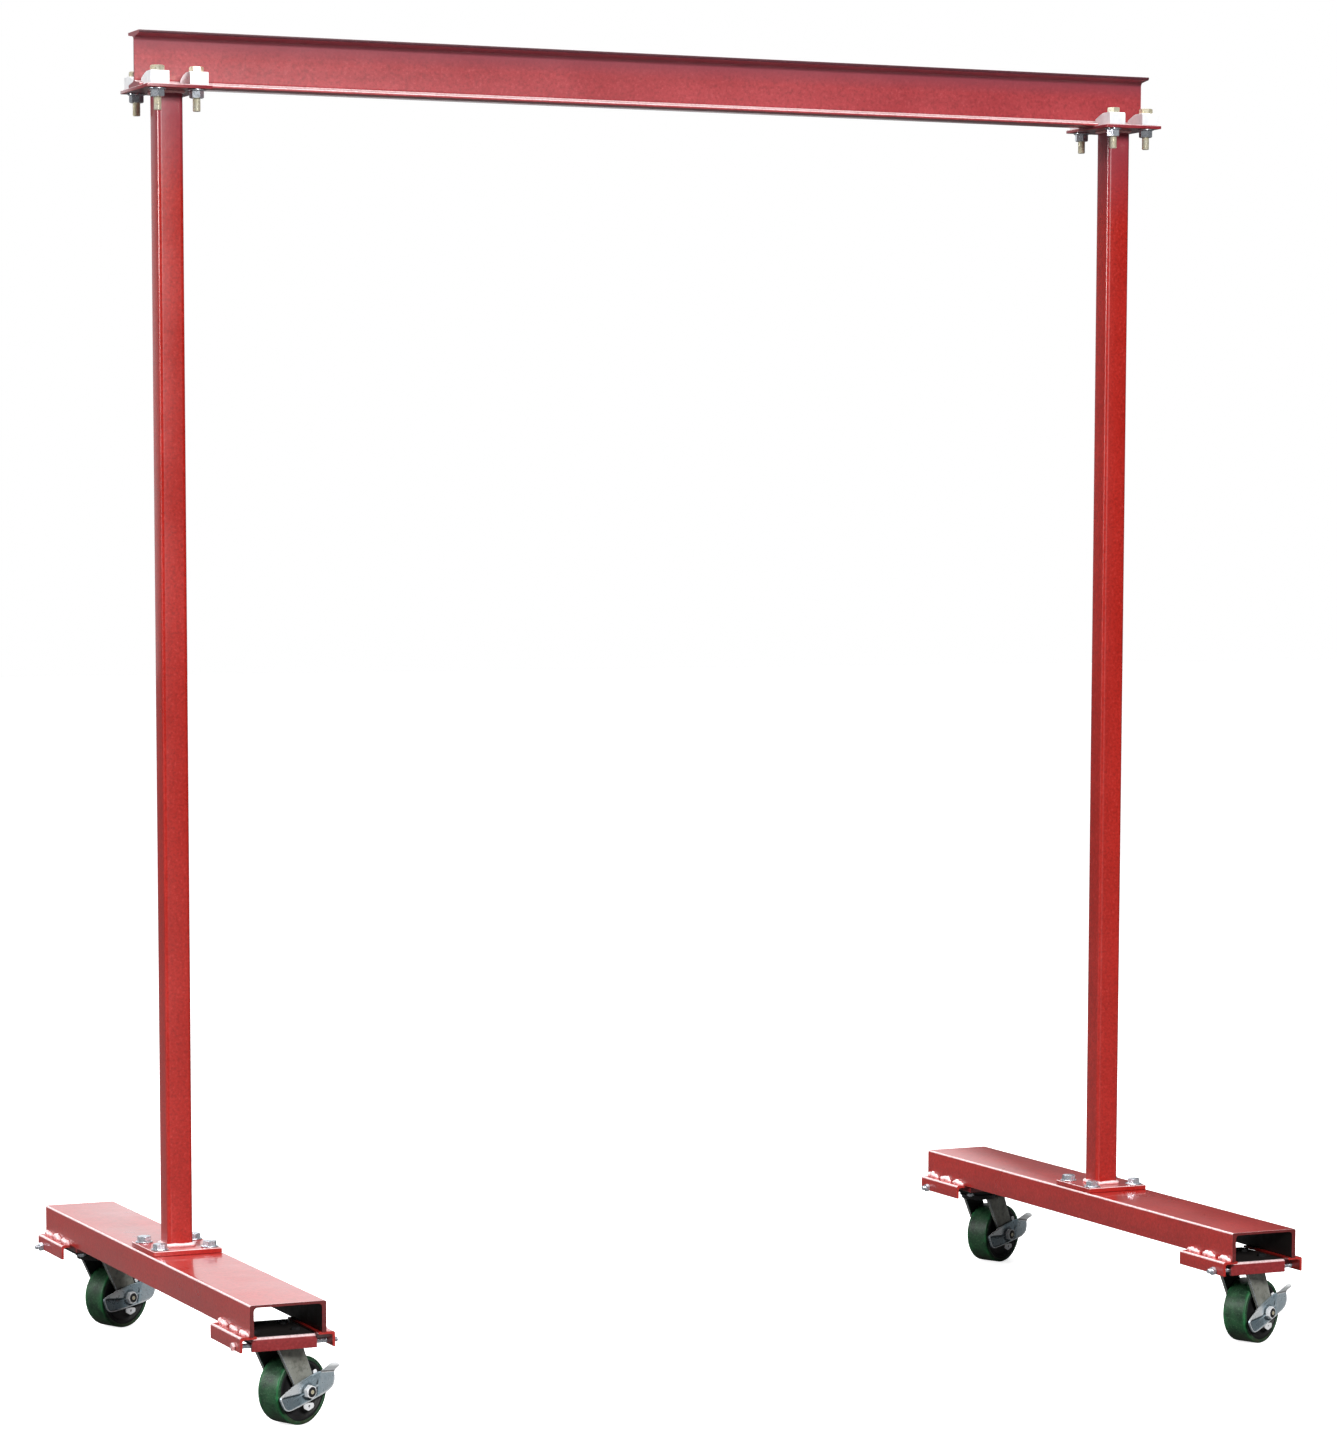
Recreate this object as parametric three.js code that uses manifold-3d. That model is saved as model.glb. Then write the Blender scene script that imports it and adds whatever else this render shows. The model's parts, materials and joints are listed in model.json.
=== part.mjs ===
// Portable gantry crane: a lifting beam clamped on two posts, each standing on an inverted channel base
// that rolls on two braked swivel casters.
//
// Millimetres. X runs along the beam, Y across it, +Z is up. The origin is on the floor under the middle
// of the beam. The crane is the same front and back, and left and right, apart from its casters, which
// are all turned to one heading.

import * as THREE from "three";
import { mergeVertices } from "three/addons/utils/BufferGeometryUtils.js";
import Module from "manifold-3d";

const wasm = await Module();
wasm.setup();

// ---- Driving dimensions -------------------------------------------------------------------------

const GAP = 0.3; // clearance between pieces that touch

const UNDER_BEAM = 2438.4; // floor to the underside of the beam
const POST_SPACING = 2034; // centre to centre

const BEAM = { length: 2159, depth: 101.6, flange: 67.6, web: 4.9, edge: 5.2, root: 9.6, fillet: 7 };
const POST = { side: 50.8, wall: 4.8, corner: 8 };
const HEAD_PLATE = { x: 127, y: 168, thick: 6.4 };
const FOOT_PLATE = { x: 137, y: 137, thick: 9.5 };

// The beam clamps: a wedge that stands on the head plate and bears on the flange's edge with its toe.
const CLAMP = { x: 36, height: 24, inner: 22, outer: 82, spacingX: 76, boltY: 64, chamfer: 3 };
const CLAMP_TOE = { crest: 56, thick: 6, bend: 42, relief: 1.5 };
const CLAMP_BOLT = { r: 7.9, hexFlats: 23.8, head: 9.9, nut: 13.9, washerR: 16.5, washer: 2.8, tail: 24 };

// The base: an inverted channel, open underneath, with pairs of angle rails welded along its lower
// edges at both ends.
const BASE = { width: 145, height: 57.4, leg: 8, web: 5, length: 1270, top: 245.1, edge: 2 };
const RAIL = { length: 165, flat: 31.8, drop: 28, thick: 4.8, reach: 17.5, setBack: 3 };
const RAIL_WELD = { share: 0.84, size: 5, root: 2 };
const FOOT_BOLT = { r: 7.9, spacing: 99 };

// The caster carrier: a plate with a lip turned down at its outer end, held between the rails by a bolt.
const CARRIER = { width: 124, length: 160, thick: 9.5, lip: 6.4, height: 25.6, outerEnd: 615, bend: 3 };
const CROSS_BOLT = { r: 4.7, y: 599, hexFlats: 14.3, head: 4.8, nut: 8, tail: 8, clear: 1.8 };
// The side that each cross bolt's nut is on, along X.
const NUT_SIDE = { front_left: 1, back_left: -1, front_right: -1, back_right: -1 };

// Swivel caster.
const CASTER_Y = 533.4; // swivel axis from the middle of the base
const HEADING = 25; // degrees from +X that the wheel trails, seen from above
const WHEEL = { r: 63.5, width: 53, shoulder: 2.5, coreR: 56, rim: 8, recess: 7 };
const HUB = { r: 17, length: 58, bore: 8.2, flare: 1.5 };
const TOP_PLATE = { x: 114.3, y: 101.6, thick: 6.4, corner: 8, holeX: 76, holeY: 66, holeR: 5.2 };
const RACE = { upperR: 38, upper: 7, lowerR: 41, lower: 4.5, pinR: 8, pinHeadR: 13, pinHead: 5 };
const FORK = { lead: 57, half: 35, thick: 6.4, front: -14.4, back: 47.8, crownR: 37 };
const FORK_FOOT = { x: 61, z: 66, r: 23 };
const AXLE = { r: 7.9, hexFlats: 22.2, head: 8, nut: 8.5, end: 1.5, washerR: 12.5 };
const LEVER = { thick: 3, standOff: 4, tail: 72, tailTop: 11, shoulder: 40, shoulderTop: 23, nose: 70 };
const LEVER_EDGE = { crest: 24, belly: 20, turnIn: 6 };
const FOOT_TAB = { rise: 17, out: 15, overlap: 8, tip: 7 };
// How far each lever's foot end stands up at rest, in degrees.
const LEVER_TILT = { front_left: 15, back_left: 8, front_right: 20, back_right: 10 };

const ROUND = 24; // sides of a wheel
const SHANK = 10; // sides of a bolt or pin

const SIDES = [
  { name: "left", x: -POST_SPACING / 2 },
  { name: "right", x: POST_SPACING / 2 },
];
const ENDS = [
  { name: "front", sign: -1 },
  { name: "back", sign: 1 },
];

// ---- Levels worked out from them ----------------------------------------------------------------

const baseBottom = BASE.top - BASE.height;
const railTop = baseBottom - GAP;
const carrierTop = railTop - RAIL.thick - GAP;
const carrierUnder = carrierTop - CARRIER.thick;
const topPlateTop = carrierUnder - GAP;
const topPlateUnder = topPlateTop - TOP_PLATE.thick;
const upperRaceUnder = topPlateUnder - RACE.upper;
const lowerRaceTop = upperRaceUnder - GAP;
const crownTop = lowerRaceTop - RACE.lower;
const crownUnder = crownTop - FORK.thick;
const crossBoltZ = carrierUnder - CROSS_BOLT.clear - CROSS_BOLT.r;
const footPlateUnder = BASE.top + GAP;
const footPlateTop = footPlateUnder + FOOT_PLATE.thick;
const headPlateTop = UNDER_BEAM - GAP;
const headPlateUnder = headPlateTop - HEAD_PLATE.thick;

// ---- Finishes -----------------------------------------------------------------------------------

const finish = (color, roughness, metalness) =>
  new THREE.MeshStandardMaterial({ color, roughness, metalness });

const redEnamel = finish(0xb0302b, 0.35, 0);
const zinc = finish(0xc9d0d6, 0.35, 1);
const yellowZinc = finish(0xd8c890, 0.35, 1);
const greyZinc = finish(0x8b8c84, 0.5, 1);
const greenTread = finish(0x1f5a35, 0.45, 0);
const blackIron = finish(0x141414, 0.6, 0);

// ---- Solids: three.js shapes, joined and cut ----------------------------------------------------

function solidFrom(geometry) {
  const bare = geometry.index ? geometry.toNonIndexed() : geometry.clone();
  bare.deleteAttribute("normal");
  bare.deleteAttribute("uv");
  const merged = mergeVertices(bare, 1e-4);
  return new wasm.Manifold(
    new wasm.Mesh({
      numProp: 3,
      vertProperties: merged.attributes.position.array,
      triVerts: new Uint32Array(merged.index.array),
    }),
  );
}

function geometryFrom(solid) {
  const mesh = solid.getMesh();
  const geometry = new THREE.BufferGeometry();
  geometry.setAttribute("position", new THREE.BufferAttribute(mesh.vertProperties, 3));
  geometry.setIndex(new THREE.BufferAttribute(mesh.triVerts, 1));
  const flat = geometry.toNonIndexed();
  flat.computeVertexNormals();
  return flat;
}

const join = (...solids) => solids.reduce((whole, piece) => whole.add(piece));
const cut = (solid, ...tools) => tools.reduce((left, tool) => left.subtract(tool), solid);

// A geometry turned by angles about X, Y and Z, then moved, as a solid.
function placed(geometry, [x, y, z] = [0, 0, 0], [rx, ry, rz] = [0, 0, 0]) {
  const turn = new THREE.Quaternion().setFromEuler(new THREE.Euler(rx, ry, rz));
  const matrix = new THREE.Matrix4().compose(
    new THREE.Vector3(x, y, z),
    turn,
    new THREE.Vector3(1, 1, 1),
  );
  return solidFrom(geometry.clone().applyMatrix4(matrix));
}

// A box between two levels, centred on (x, y).
function block(sizeX, sizeY, low, high, x = 0, y = 0) {
  return placed(new THREE.BoxGeometry(sizeX, sizeY, high - low), [x, y, (low + high) / 2]);
}

// An upright disc or shaft between two levels.
function upright(r, low, high, x = 0, y = 0, sides = SHANK) {
  const shaft = new THREE.CylinderGeometry(r, r, high - low, sides);
  return placed(shaft, [x, y, (low + high) / 2], [Math.PI / 2, 0, 0]);
}

// A shaft along Y between two places.
function alongY(r, from, to, x = 0, z = 0, sides = SHANK) {
  const shaft = new THREE.CylinderGeometry(r, r, to - from, sides);
  return placed(shaft, [x, (from + to) / 2, z]);
}

// A shaft along X between two places.
function alongX(r, from, to, y = 0, z = 0, sides = SHANK) {
  const shaft = new THREE.CylinderGeometry(r, r, to - from, sides);
  return placed(shaft, [(from + to) / 2, y, z], [0, 0, Math.PI / 2]);
}

const hexRadius = (flats) => flats / Math.sqrt(3);

// The corner radius of a faceted hole that clears a shaft of radius r all round.
const clearing = (r) => (r + GAP) / Math.cos(Math.PI / SHANK);

// A shape in the X-Y plane extruded upwards from a level.
function plate(shape, low, high, curveSegments = 4) {
  const body = new THREE.ExtrudeGeometry(shape, {
    depth: high - low,
    bevelEnabled: false,
    curveSegments,
  });
  return placed(body, [0, 0, low]);
}

// A shape in the X-Z plane extruded along Y, from y = from to y = to.
function plateAlongY(shape, from, to, curveSegments = 4) {
  const body = new THREE.ExtrudeGeometry(shape, {
    depth: to - from,
    bevelEnabled: false,
    curveSegments,
  });
  return placed(body, [0, to, 0], [Math.PI / 2, 0, 0]);
}

// A shape drawn in the Y-Z plane extruded along X, from x = from to x = to.
function plateAlongX(shape, from, to, curveSegments = 4) {
  const body = new THREE.ExtrudeGeometry(shape, {
    depth: to - from,
    bevelEnabled: false,
    curveSegments,
  });
  const turned = body.applyMatrix4(
    new THREE.Matrix4().set(0, 0, 1, from, 1, 0, 0, 0, 0, 1, 0, 0, 0, 0, 0, 1),
  );
  return placed(turned);
}

// A rectangle with rounded corners, centred on the origin.
function roundedRectangle(Outline, width, height, r) {
  const x = width / 2;
  const y = height / 2;
  const outline = new Outline();
  outline.moveTo(x, -y + r);
  outline.lineTo(x, y - r);
  outline.absarc(x - r, y - r, r, 0, Math.PI / 2);
  outline.lineTo(-x + r, y);
  outline.absarc(-x + r, y - r, r, Math.PI / 2, Math.PI);
  outline.lineTo(-x, -y + r);
  outline.absarc(-x + r, -y + r, r, Math.PI, Math.PI * 1.5);
  outline.lineTo(x - r, -y);
  outline.absarc(x - r, -y + r, r, Math.PI * 1.5, Math.PI * 2);
  return outline;
}

// A closed ring or disc turned about Y from (radius, along) points.
function turnedAboutY(points) {
  const profile = points.map(([r, along]) => new THREE.Vector2(r, along));
  profile.push(profile[0].clone());
  return solidFrom(new THREE.LatheGeometry(profile, ROUND));
}

const crane = new THREE.Group();

function addPiece(name, solid, material, group = crane) {
  const mesh = new THREE.Mesh(geometryFrom(solid), material);
  mesh.name = name;
  group.add(mesh);
}

// ---- Beam: a rolled section with tapered flanges ------------------------------------------------

// Half of the section's outline on the +Y side, from the foot up, then mirrored.
function beamSection() {
  const half = BEAM.flange / 2;
  const web = BEAM.web / 2;
  const { depth, edge, root, fillet } = BEAM;
  const side = [
    [half, 0],
    [half, edge],
    [web + fillet, root],
    [web + fillet * 0.3, root + fillet * 0.3],
    [web, root + fillet],
    [web, depth - root - fillet],
    [web + fillet * 0.3, depth - root - fillet * 0.3],
    [web + fillet, depth - root],
    [half, depth - edge],
    [half, depth],
  ];
  const mirrored = side.map(([y, z]) => [-y, z]).reverse();
  return new THREE.Shape([...side, ...mirrored].map(([y, z]) => new THREE.Vector2(y, UNDER_BEAM + z)));
}

addPiece("runway_beam", plateAlongX(beamSection(), -BEAM.length / 2, BEAM.length / 2), redEnamel);

// ---- Posts and their end plates -----------------------------------------------------------------

function postSolid() {
  const section = roundedRectangle(THREE.Shape, POST.side, POST.side, POST.corner);
  const inner = POST.side - 2 * POST.wall;
  section.holes.push(roundedRectangle(THREE.Path, inner, inner, POST.corner - POST.wall));
  return plate(section, footPlateTop + GAP, headPlateUnder - GAP);
}

const headBolts = [-1, 1].flatMap((i) =>
  [-1, 1].map((j) => ({ x: (i * CLAMP.spacingX) / 2, y: j * CLAMP.boltY, along: i, across: j })),
);

function headPlateSolid() {
  const { x, y } = HEAD_PLATE;
  const holes = headBolts.map((b) =>
    upright(clearing(CLAMP_BOLT.r), headPlateUnder - 1, headPlateTop + 1, b.x, b.y),
  );
  return cut(block(x, y, headPlateUnder, headPlateTop), ...holes);
}

const footBolts = [-1, 1].flatMap((i) =>
  [-1, 1].map((j) => [(i * FOOT_BOLT.spacing) / 2, (j * FOOT_BOLT.spacing) / 2]),
);

function boltHoles(places, r, low, high) {
  return places.map(([x, y]) => upright(r, low - 1, high + 1, x, y));
}

function footPlateSolid() {
  const slab = block(FOOT_PLATE.x, FOOT_PLATE.y, footPlateUnder, footPlateTop);
  return cut(slab, ...boltHoles(footBolts, FOOT_BOLT.r, footPlateUnder, footPlateTop));
}

// ---- Beam clamps --------------------------------------------------------------------------------

// One clamp on the +Y side: its heel stands on the head plate beside the flange, and its toe reaches
// over the flange's tapered edge.
function clampBlockSolid() {
  const { x, height, inner, outer, chamfer } = CLAMP;
  const heel = BEAM.flange / 2 + CLAMP_TOE.relief;
  const slope = (BEAM.root - BEAM.edge) / (BEAM.flange / 2 - BEAM.web / 2 - BEAM.fillet);
  const overEdge = UNDER_BEAM + BEAM.edge + GAP;
  const overToe = overEdge + (BEAM.flange / 2 - inner) * slope;
  const foot = headPlateTop + GAP;
  const top = foot + height;
  const outline = new THREE.Shape();
  outline.moveTo(inner, overToe);
  outline.lineTo(BEAM.flange / 2, overEdge);
  outline.lineTo(heel, overEdge);
  outline.lineTo(heel, foot);
  outline.lineTo(outer, foot);
  outline.lineTo(outer, top - chamfer);
  outline.lineTo(outer - chamfer, top);
  outline.lineTo(CLAMP_TOE.crest, top);
  outline.quadraticCurveTo(CLAMP_TOE.bend, top, inner, overToe + CLAMP_TOE.thick);
  const body = plateAlongX(outline, -x / 2, x / 2);
  return cut(body, upright(clearing(CLAMP_BOLT.r), foot - 1, top + 1, 0, CLAMP.boltY));
}

// A clamp bolt with its nut and washer run up, as one solid on the Z axis.
function clampBoltSolid() {
  const { r, hexFlats, head, nut, washerR, washer, tail } = CLAMP_BOLT;
  const seat = headPlateTop + GAP + CLAMP.height + GAP;
  const under = headPlateUnder - GAP;
  const nutTop = under - washer;
  const nutFoot = nutTop - nut;
  const hex = hexRadius(hexFlats);
  return join(
    upright(hex, seat, seat + head, 0, 0, 6),
    upright(r, nutFoot - tail, seat + 1),
    upright(washerR, nutTop, under),
    upright(hex, nutFoot, nutTop + 0.2, 0, 0, 6),
  );
}

// ---- Base: channel and its welded rails ---------------------------------------------------------

// The angle rail on the +X side, as an outline in X-Z with its weld foot into the channel's edge.
function railSolid(side, end) {
  const outerX = BASE.width / 2 + RAIL.reach;
  const top = baseBottom;
  const outline = new THREE.Shape(
    [
      [outerX - RAIL.flat, top - RAIL.thick],
      [outerX - RAIL.thick, top - RAIL.thick],
      [outerX - RAIL.thick, top - RAIL.drop],
      [outerX, top - RAIL.drop],
      [outerX, top],
      [outerX - RAIL.flat, top],
    ].map(([x, z]) => new THREE.Vector2(side * x, z)),
  );
  const far = BASE.length / 2 - RAIL.setBack;
  const near = far - RAIL.length;
  return plateAlongY(outline, end < 0 ? -far : near, end < 0 ? -near : far);
}

// The fillet weld between a rail and the channel's side, which makes them one piece.
function railWeld(side, end) {
  const { share, size, root } = RAIL_WELD;
  const corner = BASE.width / 2;
  const outline = new THREE.Shape(
    [
      [corner - root, baseBottom - root],
      [corner + size, baseBottom - root],
      [corner + size, baseBottom],
      [corner, baseBottom + size],
      [corner - root, baseBottom + size],
    ].map(([x, z]) => new THREE.Vector2(side * x, z)),
  );
  const middle = BASE.length / 2 - RAIL.setBack - RAIL.length / 2;
  const half = (RAIL.length * share) / 2;
  return plateAlongY(outline, end * middle - half, end * middle + half);
}

function channelSection() {
  const { leg, web, edge, top } = BASE;
  const half = BASE.width / 2;
  const inner = half - leg;
  const outline = new THREE.Shape();
  outline.moveTo(half, baseBottom);
  outline.lineTo(half, top - edge);
  outline.absarc(half - edge, top - edge, edge, 0, Math.PI / 2);
  outline.lineTo(-half + edge, top);
  outline.absarc(-half + edge, top - edge, edge, Math.PI / 2, Math.PI);
  outline.lineTo(-half, baseBottom);
  outline.lineTo(-inner, baseBottom);
  outline.lineTo(-inner, top - web);
  outline.lineTo(inner, top - web);
  outline.lineTo(inner, baseBottom);
  return outline;
}

function baseSolid() {
  const channel = plateAlongY(channelSection(), -BASE.length / 2, BASE.length / 2);
  const outerX = BASE.width / 2 + RAIL.reach;
  const rails = [-1, 1].flatMap((side) =>
    [-1, 1].flatMap((end) => [railSolid(side, end), railWeld(side, end)]),
  );
  const boltWays = [-1, 1].map((end) =>
    alongX(clearing(CROSS_BOLT.r), -outerX - 1, outerX + 1, end * CROSS_BOLT.y, crossBoltZ),
  );
  const holes = boltHoles(footBolts, FOOT_BOLT.r, BASE.top - BASE.web, BASE.top);
  return cut(join(channel, ...rails), ...boltWays, ...holes);
}

// ---- Caster carriers and their cross bolts ------------------------------------------------------

const plateHoles = [-1, 1].flatMap((i) =>
  [-1, 1].map((j) => [(i * TOP_PLATE.holeX) / 2, (j * TOP_PLATE.holeY) / 2]),
);

// A plate with its outer end bent down, drawn as an outline in Y-Z for the back end.
function carrierSolid(end) {
  const { width, length, lip, height, outerEnd, bend } = CARRIER;
  const near = outerEnd - length;
  const foot = carrierTop - height;
  const outline = new THREE.Shape();
  outline.moveTo(outerEnd, foot);
  outline.lineTo(outerEnd, carrierTop - bend);
  outline.absarc(outerEnd - bend, carrierTop - bend, bend, 0, Math.PI / 2);
  outline.lineTo(near, carrierTop);
  outline.lineTo(near, carrierUnder);
  outline.lineTo(outerEnd - lip, carrierUnder);
  outline.lineTo(outerEnd - lip, foot);
  const folded = plateAlongX(outline, -width / 2, width / 2);
  const holes = boltHoles(plateHoles, TOP_PLATE.holeR, carrierUnder, carrierTop);
  const drilled = cut(folded, ...holes.map((hole) => hole.translate([0, CASTER_Y, 0])));
  return end < 0 ? drilled.mirror([0, 1, 0]) : drilled;
}

// A bolt through both rails, with its nut outside one rail and its head outside the other.
function crossBoltSolid(end, nutSide) {
  const { r, y, hexFlats, head, nut, tail } = CROSS_BOLT;
  const face = BASE.width / 2 + RAIL.reach + GAP;
  const hex = hexRadius(hexFlats);
  const at = end * y;
  const bolt = join(
    alongX(r, -face - 1, face + nut + tail, at, crossBoltZ, 12),
    alongX(hex, -face - head, -face, at, crossBoltZ, 6),
    alongX(hex, face, face + nut, at, crossBoltZ, 6),
  );
  return nutSide < 0 ? bolt.mirror([1, 0, 0]) : bolt;
}

// ---- Caster: pieces about the swivel axis, trailing towards +X, axle along Y --------------------

const axleAt = { x: FORK.lead, z: WHEEL.r };

// Top plate with the upper race and the kingpin riveted through the fork's crown.
function topPlateSolid() {
  const shape = roundedRectangle(THREE.Shape, TOP_PLATE.x, TOP_PLATE.y, TOP_PLATE.corner);
  const flat = plate(shape, topPlateUnder, topPlateTop);
  const holes = boltHoles(plateHoles, TOP_PLATE.holeR, topPlateUnder, topPlateTop);
  const pinFoot = crownUnder - GAP - RACE.pinHead;
  return join(
    cut(flat, ...holes),
    upright(RACE.upperR, upperRaceUnder, topPlateUnder + 0.5, 0, 0, ROUND),
    upright(RACE.pinR, pinFoot, topPlateUnder + 1),
    upright(RACE.pinHeadR, pinFoot, crownUnder - GAP),
  );
}

// The angle at which a line from the crown's top edge touches the round foot of a leg.
function footTangent(x, way) {
  const dx = x - FORK_FOOT.x;
  const dz = crownTop - FORK_FOOT.z;
  return Math.atan2(dz, dx) + way * Math.acos(FORK_FOOT.r / Math.hypot(dx, dz));
}

// A leg's outline in X-Z: raked back at one width, and round below the axle.
function legOutline() {
  const { front, back } = FORK;
  const { x, z, r } = FORK_FOOT;
  const outline = new THREE.Shape();
  outline.moveTo(back, crownTop);
  outline.lineTo(front, crownTop);
  outline.absarc(x, z, r, footTangent(front, 1), footTangent(back, -1) + 2 * Math.PI);
  return outline;
}

function forkSolid() {
  const { half, thick, crownR, front, back } = FORK;
  const crown = join(
    upright(crownR, crownUnder, crownTop, 0, 0, ROUND),
    block(back - front, 2 * half, crownUnder, crownTop, (front + back) / 2, 0),
    upright(RACE.lowerR, crownTop - 0.5, lowerRaceTop, 0, 0, ROUND),
  );
  const legs = [-1, 1].map((side) => {
    const inner = side * (half - thick);
    const outer = side * half;
    return plateAlongY(legOutline(), Math.min(inner, outer), Math.max(inner, outer), 6);
  });
  const bore = alongY(clearing(AXLE.r), -half - 1, half + 1, axleAt.x, axleAt.z);
  const pinWay = upright(clearing(RACE.pinR), crownUnder - 1, lowerRaceTop + 1);
  return cut(join(crown, ...legs), bore, pinWay);
}

// Wheel core: a cast hub and web under a rim, with the axle's bore.
function coreSolid() {
  const face = WHEEL.width / 2 - 1;
  const web = WHEEL.width / 2 - WHEEL.recess;
  const hub = HUB.length / 2 - 1;
  const rim = WHEEL.coreR - GAP;
  const rimInner = rim - WHEEL.rim;
  const side = [
    [rim, face],
    [rimInner + 2, face],
    [rimInner, web],
    [HUB.r + HUB.flare, web],
    [HUB.r, hub],
    [HUB.bore, hub],
  ];
  const mirrored = side.map(([r, along]) => [r, -along]).reverse();
  return turnedAboutY([...mirrored, ...side]);
}

function treadSolid() {
  const half = WHEEL.width / 2;
  return turnedAboutY([
    [WHEEL.coreR, -half],
    [WHEEL.r - WHEEL.shoulder, -half],
    [WHEEL.r, -half + WHEEL.shoulder],
    [WHEEL.r, half - WHEEL.shoulder],
    [WHEEL.r - WHEEL.shoulder, half],
    [WHEEL.coreR, half],
  ]);
}

// The lever's plate stands off the leg on the brake's cam washer.
const leverInner = FORK.half + LEVER.standOff;

// Axle bolt along Y, head at the back (+Y), nut and cam washer on the lever's side.
function axleSolid() {
  const hex = hexRadius(AXLE.hexFlats);
  const leverFace = leverInner + LEVER.thick + GAP;
  return join(
    alongY(AXLE.r, -leverFace - AXLE.nut - AXLE.end, FORK.half + GAP + AXLE.head),
    alongY(hex, FORK.half + GAP, FORK.half + GAP + AXLE.head, 0, 0, 6),
    alongY(hex, -leverFace - AXLE.nut, -leverFace, 0, 0, 6),
    alongY(AXLE.washerR, -leverInner + GAP, -FORK.half - GAP),
  );
}

// Brake lever's face, drawn about the axle in X-Z: a rounded nose ahead, a deep body, and a tail whose top
// edge slopes down.
function leverOutline() {
  const { tail, tailTop, shoulder, shoulderTop, nose } = LEVER;
  const { crest, belly } = LEVER_EDGE;
  const outline = new THREE.Shape();
  outline.moveTo(tail, tailTop);
  outline.lineTo(shoulder, shoulderTop);
  outline.bezierCurveTo(shoulder / 2, crest + 3, -nose / 2, crest, -nose + 6, crest - 7);
  outline.bezierCurveTo(-nose - 3, crest * 0.6, -nose - 2, -belly / 2, -nose + 18, -belly + 4);
  outline.quadraticCurveTo(-nose / 2, -belly, shoulder, -belly);
  outline.bezierCurveTo(tail - 8, -belly, tail, -belly / 2, tail, tailTop);
  return outline;
}

// The foot tab: bent outwards along the tail's sloping edge, and rounded towards its tip.
function footTabSolid(outer) {
  const { tail, tailTop, shoulder, shoulderTop } = LEVER;
  const { rise, out, overlap, tip } = FOOT_TAB;
  const length = Math.hypot(tail - shoulder, shoulderTop - tailTop);
  const slope = Math.atan2(shoulderTop - tailTop, tail - shoulder);
  const bent = new THREE.Shape(
    [
      [outer, -overlap],
      [-leverInner, -overlap],
      [-leverInner, 0],
      [-leverInner - out, rise],
      [outer - out, rise],
      [outer, 0],
    ].map(([y, z]) => new THREE.Vector2(y, z)),
  );
  const tab = plateAlongX(bent, 0, length);
  const face = new THREE.Shape();
  face.moveTo(0, -overlap - 1);
  face.lineTo(0, rise - tip);
  face.quadraticCurveTo(0, rise, tip, rise);
  face.lineTo(length - tip, rise);
  face.quadraticCurveTo(length, rise, length, rise - tip);
  face.lineTo(length, -overlap - 1);
  const rounded = tab.intersect(plateAlongY(face, outer - 2 * out, 0));
  return rounded.rotate([0, (slope * 180) / Math.PI, 0]).translate([shoulder, 0, shoulderTop]);
}

// The lever: its face, a flange turned inwards along the top edge, and the foot tab.
function leverSolid() {
  const { thick, shoulder, nose } = LEVER;
  const outer = -leverInner - thick;
  const outline = leverOutline();
  const face = plateAlongY(outline, outer, -leverInner, 6);
  const strip = plateAlongY(outline, outer, outer + LEVER_EDGE.turnIn, 6);
  const under = plateAlongY(outline, outer - 1, outer + LEVER_EDGE.turnIn + 1, 6);
  const span = block(nose / 2 + shoulder, 100, -100, 100, (shoulder - nose / 2) / 2, 0);
  const turned = cut(strip, under.translate([0, 0, -thick])).intersect(span);
  const upperHalf = block(4 * nose, 4 * nose, 0, LEVER_EDGE.crest + 1);
  const bore = alongY(clearing(AXLE.r), outer - 1, -leverInner + 1);
  return cut(join(face, turned.intersect(upperHalf), footTabSolid(outer)), bore);
}

// ---- Assembly -----------------------------------------------------------------------------------

const degrees = (angle) => (angle * Math.PI) / 180;

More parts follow.
